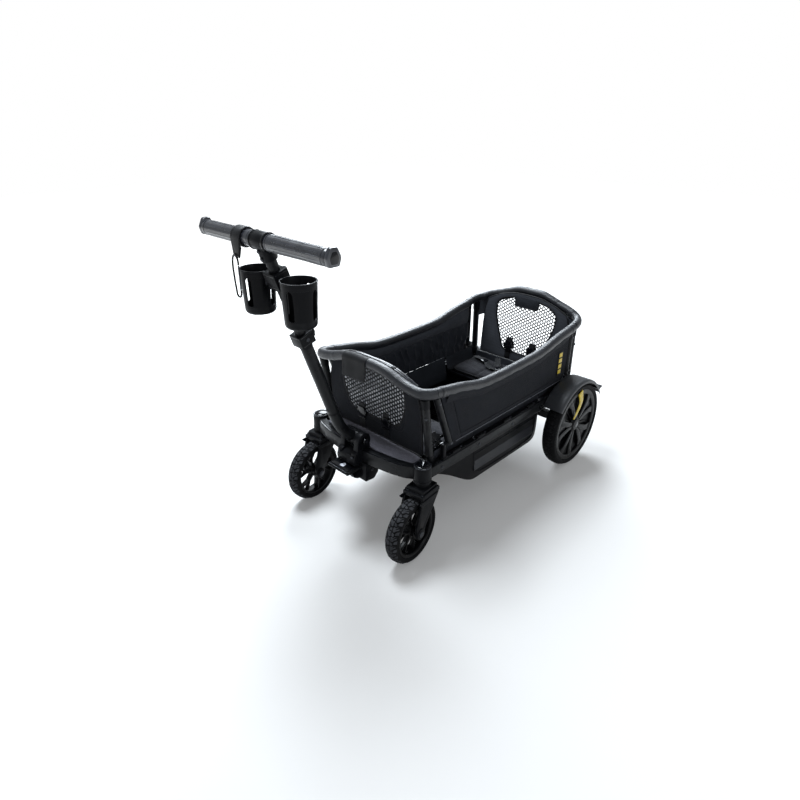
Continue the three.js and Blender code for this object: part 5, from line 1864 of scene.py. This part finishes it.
def rear_spokes():
    """The two broad blades and the sunk web of one forked spoke, pointing up from the axle."""
    shapes = []
    for s in (-1, 1):
        blade = [(s * 0.0012, 0.024), (s * 0.012, 0.026), (s * 0.019, 0.052), (s * 0.033, 0.088),
            (s * 0.056, 0.112), (s * 0.043, 0.118), (s * 0.025, 0.12), (s * 0.015, 0.1), (s * 0.005, 0.07),
            (s * 0.0012, 0.05)]
        shapes.append((slab(rounded(blade, 0.004, 3), 0.006, 0.02, "x"), 0.0018))
    web = [(-0.009, 0.066), (0.009, 0.066), (0.017, 0.094), (0.022, 0.119), (-0.022, 0.119), (-0.017, 0.094)]
    shapes.append((slab(rounded(web, 0.003), 0.007, 0.015, "x"), 0.001))
    return shapes


def outward(obj):
    """Points the faces of a finished mesh outwards again, after a mirrored transform."""
    shape = bmesh.new()
    shape.from_mesh(obj.data)
    bmesh.ops.recalc_face_normals(shape, faces=shape.faces)
    shape.to_mesh(obj.data)
    shape.free()


class WAGON_OT_fenders(bpy.types.Operator):
    """Curved rear fenders with rolled edges and a turned-up tail"""

    bl_idname = "wagon.fenders"
    bl_label = "Fenders"

    def execute(self, context):
        for side, sign in SIDES:
            fender = Piece(f"fender_shell_{side}", "chassis", "black_plastic")
            across = [(240.4, 6.5), (241.0, 2.2), (243.5, 0.5), (250, 0), (277, 0), (302, 0), (308.5, 0.5),
                (312.0, 2.4), (313.6, 6.0), (313.8, 9.5)]
            rows = []
            for a in np.radians(np.linspace(36, 152, 70)):
                row = []
                for x, drop in across:
                    r = 172.9 - drop
                    row.append(at(sign * x, REAR_AXLE - r * math.cos(a), 159 + r * math.sin(a)))
                rows.append(row)
            grid = np.array(rows)
            centre = at(sign * 277, REAR_AXLE, 159)
            inner = grid - (grid - centre) * np.array([0, 1, 1]) * 0.0165
            points = np.vstack([grid.reshape(-1, 3), inner.reshape(-1, 3)])
            _, faces = sheet_of(grid, 0.0, (0, 0, -1))
            fender.put((points, faces), "Fender plastic", bevel=0.0006)
            lip = [(880, 261), (887, 255), (909, 262), (908, 266), (888, 259.5)]
            profile = [(y_of(y), z / 1000) for y, z in lip]
            low, high = ordered(sign, 0.2412, 0.3128)
            fender.put(slab(rounded(profile, 0.0012, 3), low, high, "x"), "Fender plastic", bevel=0.0008)
            stay = [(700, 250), (800, 250), (792, 322), (770, 330), (730, 330), (708, 322)]
            low, high = ordered(sign, 0.239, 0.2447)
            fender.put(slab([(y_of(y), z / 1000) for y, z in stay], low, high, "x"), "Fender plastic",
                bevel=0.0012)
            for y, z in ((716, 262), (784, 262), (750, 300)):
                fender.screws([at(sign * 244.7, y, z)], "x", sign)
            fender.place(replaces=(f"fender_{side}",), sharp=40)
        return {"FINISHED"}


# ---------------------------------------------------------------- handle


SHAFT = Matrix.Translation(Vector(at(0, -122, 410))) @ Matrix.Rotation(SHAFT_TILT, 4, "X")
BAR = sum(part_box("handle_crossbar"), Vector()) / 2  # middle of the crossbar
GRIP_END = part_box("grip_right")[1].x * 1000  # outer face of a grip, in millimetres
CUP_FOOT = sum(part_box("cup_holder_right"), Vector()) / 2
STRAP_X = sum(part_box("wrist_strap"), Vector()).x / 2


def on_shaft(shape):
    return moved(shape, SHAFT)


def shaft_tubes():
    """The bent lower tube and the sliding upper tube."""
    bend = smooth(np.array([at(0, -66, 330), at(0, -78, 338), at(0, -98, 362), at(0, -110, 381),
        at(0, -122, 410)]), 26)
    top = np.array([SHAFT @ Vector((0, 0, s / 1000)) for s in (12, 150, 272)])
    tube = Piece("handle_lower_tube", "handle", "frame_metal")
    tube.put(sweep(np.vstack([bend, top]), oval(0.0168, count=36), side=(1, 0, 0)), "Frame metal")
    for s in (0.022, 0.258):
        band = [(0.0171, s - 0.004), (0.0176, s - 0.003), (0.0176, s + 0.003), (0.0171, s + 0.004),
            (0.016, s)]
        tube.put(on_shaft(turned(band, 36, closed=True)), "Black plastic")
    tube.put(on_shaft(screw_head((0, -0.0168, 0.04), "y", -1, 0.0046, 0.002)), "Bare steel")
    tube.place(replaces=("handle_outer_tube",))
    inner = Piece("handle_upper_tube", "handle_top", "frame_metal")
    inner.put(on_shaft(sweep([(0, 0, 0.2), (0, 0, 0.537)], oval(0.0139, count=36), side=(1, 0, 0))),
        "Frame metal")
    inner.put(on_shaft(sweep([(0, 0.0134, 0.302), (0, 0.0134, 0.43)], oval(0.002, 0.001, 8),
        side=(1, 0, 0))), "Gloss plastic")
    inner.place(replaces=("handle_inner_tube",))


def shaft_collar():
    """The clamp where the upper tube slides into the lower one."""
    collar = stand_in("telescope_collar_body", "handle", "black_plastic", "telescope_collar",
        "Black plastic", 0.0024)
    for s in (0.269, 0.295):
        band = rounded([(-0.0213, -0.0223), (0.0213, -0.0223), (0.0213, 0.0223), (-0.0213, 0.0223)], 0.006)
        collar.put(on_shaft(slab(band, s - 0.0012, s + 0.0012)), "Gloss plastic", bevel=0.0005)
    for x in (-1, 1):
        collar.put(on_shaft(screw_head((x * 0.0212, 0.0, 0.282), "x", x, 0.005, 0.0024)), "Bare steel")
    collar.place()


class WAGON_OT_handle(bpy.types.Operator):
    """Pull handle: hub, bracket, telescoping tubes, collar and buttons"""

    bl_idname = "wagon.handle"
    bl_label = "Handle shaft"

    def execute(self, context):
        bracket = stand_in("handle_bracket_body", "chassis", "black_plastic", "handle_bracket",
            "Black plastic", 0.0018)
        housing = [(y - ORIGIN, z) for y, z in ((-0.066, 0.19), (-0.03, 0.187), (-0.012, 0.206),
            (-0.006, 0.2495), (-0.064, 0.2495))]
        bracket.put(slab(rounded(housing, 0.005), -0.058, 0.058, "x"), "Black plastic", bevel=0.003)
        for s in (-1, 1):
            low, high = ordered(s, 0.0575, 0.0595)
            plate = [(y - ORIGIN, z) for y, z in ((-0.058, 0.2), (-0.03, 0.198), (-0.019, 0.214),
                (-0.014, 0.242), (-0.058, 0.242))]
            bracket.put(slab(rounded(plate, 0.004), low, high, "x"), "Black plastic", bevel=0.0008)
            bracket.screws([at(s * 59.5, -40, 224)], "x", s)
        for x in (-28, 28):
            for z in (212, 238, 274):
                bracket.screws([at(x, -92 if z != 238 else -69, z)], "y", -1, 0.0044, 0.0024)
        bracket.place()
        hub = stand_in("handle_hub_body", "handle", "black_plastic", "handle_hub", "Black plastic", 0.0014)
        ribs = ring_of(block((-0.0185, 0.0185), (-0.0016, 0.0016), (0.0232, 0.0244)), "Black plastic", 18,
            at(0, -50, 318), 0.1)
        hub.take(ribs).place()
        for node_name, body, made in (("handle_release_button", "release_button", "release_button_cap"),
                ("telescope_button", "telescope_button", "telescope_button_cap")):
            stand_in(made, body, "gloss_plastic", node_name, "Gloss plastic", 0.0016).place()
        shaft_tubes()
        shaft_collar()
        return {"FINISHED"}


def ribbed_grip(side, sign, sizes):
    """A grip with long ribs and an end stop."""
    grip = Piece(f"grip_{side}_ribbed", "handle_top", "grip_rubber")
    end = GRIP_END - 12.5
    profile = [(27.5, 15.0), (27.5, 19.2), (29.0, 20.0), (34.0, 20.0), (35.0, 18.6), (36.5, 18.6),
        (37.5, 19.8), (60.0, 18.7), (110.0, 18.2), (170.0, 18.0), (end - 27, 18.4), (end - 13, 19.0),
        (end - 12, 17.4), (end - 10, 17.4), (end - 9, 19.2), (end - 2, 19.2), (end, 18.0), (end, 12.5)]
    points, faces = turned([(r / 1000, sign * x / 1000) for x, r in profile], 60, "x", BAR, closed=True)
    grip.put((points, faces), "Grip rubber")
    ribs = ((46, 18.9), (60, 18.3), (110, 17.8), (170, 17.6), (end - 30, 18.0), (end - 18, 18.3))
    grip.take(ring_of(sweep([(sign * x / 1000, 0, r / 1000) for x, r in ribs], oval(0.0019, 0.0015, 8),
        side=(0, 1, 0), sizes=(0.5, 1, 1, 1, 1, 0.5)), "Grip rubber", sizes.grip_ribs, BAR, 0.12))
    stop = [(-14, -17), (14, -17), (20, 2), (9, 24), (-9, 24), (-20, 2)]
    for size, low, high, finish, bevel in ((1.0, end, end + 12.2, "Grip rubber", 0.0026), (0.62, end + 12.0,
            end + 12.5, "Gloss plastic", 0.0002)):
        plan = [(y * size / 1000 + BAR.y, z * size / 1000 + BAR.z) for y, z in stop]
        ends = ordered(sign, low / 1000, high / 1000)
        grip.put(slab(rounded(plan, 0.005 * size), *ends, "x"), finish, bevel=bevel)
    grip.place(replaces=(f"grip_{side}",), sharp=40)


def cup_holder(side, sign, sizes):
    """An open cup holder: a floor, a rim and the walls between its windows."""
    cup = Piece(f"cup_holder_{side}_open", "handle_top", "black_plastic")
    centre = (sign * CUP_FOOT.x, CUP_FOOT.y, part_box("cup_holder_right")[0].z)
    wall = sizes.cup_wall
    low = [(0, 0.0), (0.0335, 0.0), (0.0368, 0.003), (0.0384, 0.0075), (0.039, 0.02), (0.039 - wall, 0.02),
        (0.0384 - wall, 0.0085), (0.0345, 0.004), (0.032, 0.003), (0, 0.003)]
    cup.put(turned(low, 72, "z", centre), "Black plastic")
    top = [(0.0425, 0.093), (0.0432, 0.1062), (0.044, 0.107), (0.044, 0.1094), (0.0434, 0.11),
        (0.0414, 0.11), (0.0408, 0.109), (0.0402, 0.093)]
    cup.put(turned(top, 72, "z", centre, closed=True), "Black plastic")
    # Wall between two windows, drawn about X for the ring and stood up afterwards.
    slot = 2 * math.pi / sizes.cup_slots
    loops = []
    for x, r, wide in ((0.019, 0.039, 0.5), (0.02, 0.039, 0.46), (0.023, 0.0392, 0.37),
            (0.056, 0.0407, 0.36), (0.086, 0.0424, 0.37), (0.0915, 0.0427, 0.44), (0.0935, 0.0428, 0.5)):
        angles = np.linspace(-wide * slot, wide * slot, 15)
        outer = [(x, r * math.sin(a), r * math.cos(a)) for a in angles]
        inner = [(x, (r - wall) * math.sin(a), (r - wall) * math.cos(a)) for a in angles[::-1]]
        loops.append(np.array(outer + inner))
    posts = ring_of(rings(loops), "Black plastic", sizes.cup_slots, (0, 0, 0), 0.5 * slot + 0.35)
    posts.data.transform(Matrix.Translation(Vector(centre)) @ Matrix.Rotation(-math.pi / 2, 4, "Y"))
    cup.take(posts)
    floor = ring_of(block((0.003, 0.0042), (-0.001, 0.001), (0.008, 0.026)), "Black plastic", 12, (0, 0, 0))
    floor.data.transform(Matrix.Translation(Vector(centre)) @ Matrix.Rotation(-math.pi / 2, 4, "Y"))
    cup.take(floor)
    made = cup.place(replaces=(f"cup_holder_{side}",), sharp=40)
    outward(made)


def cup_bracket():
    """The arm that carries both cup holders."""
    arm = stand_in("cup_bracket_body", "handle_top", "black_plastic", "cup_bracket", "Black plastic", 0.0022)
    for x in (-1, 1):
        arm.screws([(x * 0.031, CUP_FOOT.y - 0.009, 0.825)], "y", -1, 0.0046, 0.0024)
    for s in (0.442, 0.474):
        band = rounded([(-0.0223, -0.0213), (0.0223, -0.0213), (0.0223, 0.0213), (-0.0223, 0.0213)], 0.006)
        arm.put(on_shaft(slab(band, s - 0.0012, s + 0.0012)), "Gloss plastic", bevel=0.0005)
    arm.place()


def wrist_strap():
    """The strap that hangs from the handlebar, with its snap hook and gate."""
    strap = stand_in("wrist_strap_loop", "wrist_strap", "webbing", "wrist_strap", "Strap rubber", 0.001)
    for x in (-0.092, -0.064):
        ring = [(0.0243, x - 0.0011), (0.0248, x), (0.0243, x + 0.0011)]
        strap.put(turned(ring, 48, "x", BAR, closed=True), "Strap rubber")
    made = strap.place()
    for point in made.data.vertices:
        below = BAR.z - 0.016 - point.co.z
        if below > 0:
            point.co.x = STRAP_X + (point.co.x - STRAP_X) * max(0.62, 1 - below * 17)
    hook = Piece("snap_hook", "carabiner", "black_steel")
    hook.take(eased("carabiner", "Gloss plastic", 0.0003, 1)).place(replaces=("carabiner",), sharp=60)
    gate = Piece("snap_hook_gate", "carabiner_gate", "black_steel")
    gate.take(eased("carabiner_gate", "Bare steel", 0.0003, 1)).place(replaces=("carabiner_gate",), sharp=60)


class WAGON_OT_handlebar(bpy.types.Operator):
    """T head, crossbar, ribbed grips, cup holders, strap and snap hook"""

    bl_idname = "wagon.handlebar"
    bl_label = "Handlebar"

    def execute(self, context):
        sizes = context.scene.wagon_handle
        head = stand_in("handle_head_body", "handle_top", "black_plastic", "handle_head", "Black plastic",
            0.002)
        for x in (-1, 1):
            ring = [(0.0205, x * 0.024), (0.0226, x * 0.0235), (0.0229, x * 0.0255), (0.0205, x * 0.0268)]
            head.put(turned(ring, 48, "x", BAR, closed=True), "Gloss plastic")
        for s in (0.518, 0.538):
            head.put(on_shaft(screw_head((0, -0.0198, s), "y", -1, 0.0046, 0.0026)), "Bare steel")
        head.place()
        bar = Piece("handle_crossbar_tube", "handle_top", "frame_metal")
        low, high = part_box("handle_crossbar")
        bar.put(rod(0.0119, (low.x, BAR.y, BAR.z), (high.x, BAR.y, BAR.z), 32), "Frame metal")
        bar.place(replaces=("handle_crossbar",))
        for side, sign in SIDES:
            ribbed_grip(side, sign, sizes)
            cup_holder(side, sign, sizes)
        cup_bracket()
        wrist_strap()
        return {"FINISHED"}


# ---------------------------------------------------------------- stage, panel and run

CAMERA_PLACE = (1.1498, -1.3443, 1.2077)
CAMERA_ROLL = math.radians(0.286)
CAMERA_SHIFT = (0.0005, -0.0204)
FLOOR_REACH = 9.0  # half the side of the floor, in metres
LIGHT_COLOUR = (0.86, 0.93, 1.0)


def set_camera(scene, look):
    """The camera, at its own place and turned by the stage settings."""
    a, e, roll = look.azimuth, look.elevation, CAMERA_ROLL
    back = Vector((math.sin(a) * math.cos(e), -math.cos(a) * math.cos(e), math.sin(e)))
    right = Vector((0, 0, 1)).cross(back).normalized()
    up = back.cross(right)
    right, up = (math.cos(roll) * right + math.sin(roll) * up, -math.sin(roll) * right + math.cos(roll) * up)
    lens = bpy.data.cameras.new("camera")
    lens.lens, lens.sensor_width = look.lens, 36.0
    lens.shift_x, lens.shift_y = CAMERA_SHIFT
    camera = bpy.data.objects.new("camera", lens)
    turn = Matrix((right, up, back)).transposed().to_4x4()
    camera.matrix_world = Matrix.Translation(CAMERA_PLACE) @ turn
    scene.collection.objects.link(camera)
    scene.camera = camera
    scene.view_settings.view_transform = "Standard"


class WAGON_OT_stage(bpy.types.Operator):
    """Pale floor, soft lights and the camera"""

    bl_idname = "wagon.stage"
    bl_label = "Stage"

    def execute(self, context):
        scene, look = context.scene, context.scene.wagon_stage
        r = FLOOR_REACH
        floor = blank("stage_floor", ([(-r, -r, 0), (r, -r, 0), (r, r, 0), (-r, r, 0)], [(0, 1, 2, 3)]))
        made = bpy.data.materials.new("Pale floor")
        made.use_nodes = True
        shader = made.node_tree.nodes["Principled BSDF"]
        shader.inputs["Base Color"].default_value = (0.66, 0.65, 0.635, 1)
        shader.inputs["Roughness"].default_value = 0.9
        shader.inputs["Specular IOR Level"].default_value = 0.1
        # The floor glows a little towards its edge, so that it runs into the pale surroundings.
        tree = made.node_tree
        place = node(tree, "ShaderNodeTexCoord").outputs["Object"]
        away = node(tree, "ShaderNodeVectorMath", {0: place}, operation="LENGTH").outputs["Value"]
        shader.inputs["Emission Color"].default_value = (1, 1, 1, 1)
        tree.links.new(span(tree, away, 1.2, 4.5, 0.12, 0.85), shader.inputs["Emission Strength"])
        floor.data.materials.append(made)
        world = bpy.data.worlds.new("Pale surround")
        world.use_nodes = True
        surround = world.node_tree.nodes["Background"]
        surround.inputs[0].default_value = (0.93, 0.965, 1.0, 1)
        surround.inputs[1].default_value = look.sky
        white = node(world.node_tree, "ShaderNodeBackground", {"Color": (1, 1, 1, 1), "Strength": 1.0})
        seen = node(world.node_tree, "ShaderNodeLightPath").outputs["Is Camera Ray"]
        both = node(world.node_tree, "ShaderNodeMixShader", {0: seen, 1: surround.outputs[0],
            2: white.outputs[0]})
        world.node_tree.links.new(both.outputs[0], world.node_tree.nodes["World Output"].inputs["Surface"])
        scene.world = world
        for name, spot, aim, size, power in (("key", (-1.2, -0.2, 3.6), (0, 0, 0.3), 1.5, look.key_power),
                ("side", (3.2, -0.4, 2.1), (0, 0, 0.4), 0.9, look.key_power * 0.12),
                ("back", (-2.0, 2.1, 2.5), (0, 0, 0.4), 2.2, look.key_power * 1.3)):
            light = bpy.data.lights.new(name, "AREA")
            light.shape, light.size, light.energy = "DISK", size, power
            light.color = LIGHT_COLOUR
            lamp = bpy.data.objects.new(name, light)
            lamp.location = spot
            lamp.rotation_euler = (Vector(aim) - Vector(spot)).to_track_quat("-Z", "Y").to_euler()
            scene.collection.objects.link(lamp)
        set_camera(scene, look)
        return {"FINISHED"}


STEPS = (WAGON_OT_stage, WAGON_OT_hoops, WAGON_OT_side_walls, WAGON_OT_end_panels, WAGON_OT_seats,
    WAGON_OT_floor, WAGON_OT_chassis, WAGON_OT_brake, WAGON_OT_casters, WAGON_OT_wheels, WAGON_OT_fenders,
    WAGON_OT_handle, WAGON_OT_handlebar)
SETTINGS = {"wagon_colours": WagonColours, "wagon_fabric": WagonFabric, "wagon_wheels": WagonWheels,
            "wagon_handle": WagonHandle, "wagon_stage": WagonStage}


class WAGON_PT_sidebar(bpy.types.Panel):
    """Lists the wagon's pieces and the sizes that a user may change"""

    bl_idname = "WAGON_PT_sidebar"
    bl_label = "Kids pull wagon"
    bl_space_type = "VIEW_3D"
    bl_region_type = "UI"
    bl_category = "Wagon"

    def draw(self, context):
        column = self.layout.column(align=True)
        for step in STEPS:
            column.operator(step.bl_idname)
        for name in list(SETTINGS)[1:]:
            group = getattr(context.scene, name)
            box = self.layout.box()
            for field in group.bl_rna.properties:
                if field.identifier not in ("rna_type", "name"):
                    box.prop(group, field.identifier)


def register():
    for group in SETTINGS.values():
        bpy.utils.register_class(group)
    for name, group in SETTINGS.items():
        setattr(bpy.types.Scene, name, bpy.props.PointerProperty(type=group))
    for step in STEPS:
        bpy.utils.register_class(step)
    bpy.utils.register_class(WAGON_PT_sidebar)


def unregister():
    bpy.utils.unregister_class(WAGON_PT_sidebar)
    for step in reversed(STEPS):
        bpy.utils.unregister_class(step)
    for name in SETTINGS:
        delattr(bpy.types.Scene, name)
    for group in SETTINGS.values():
        bpy.utils.unregister_class(group)


def main():
    register()
    for step in STEPS:
        group, name = step.bl_idname.split(".")
        getattr(getattr(bpy.ops, group), name)()


if __name__ == "__main__":
    main()
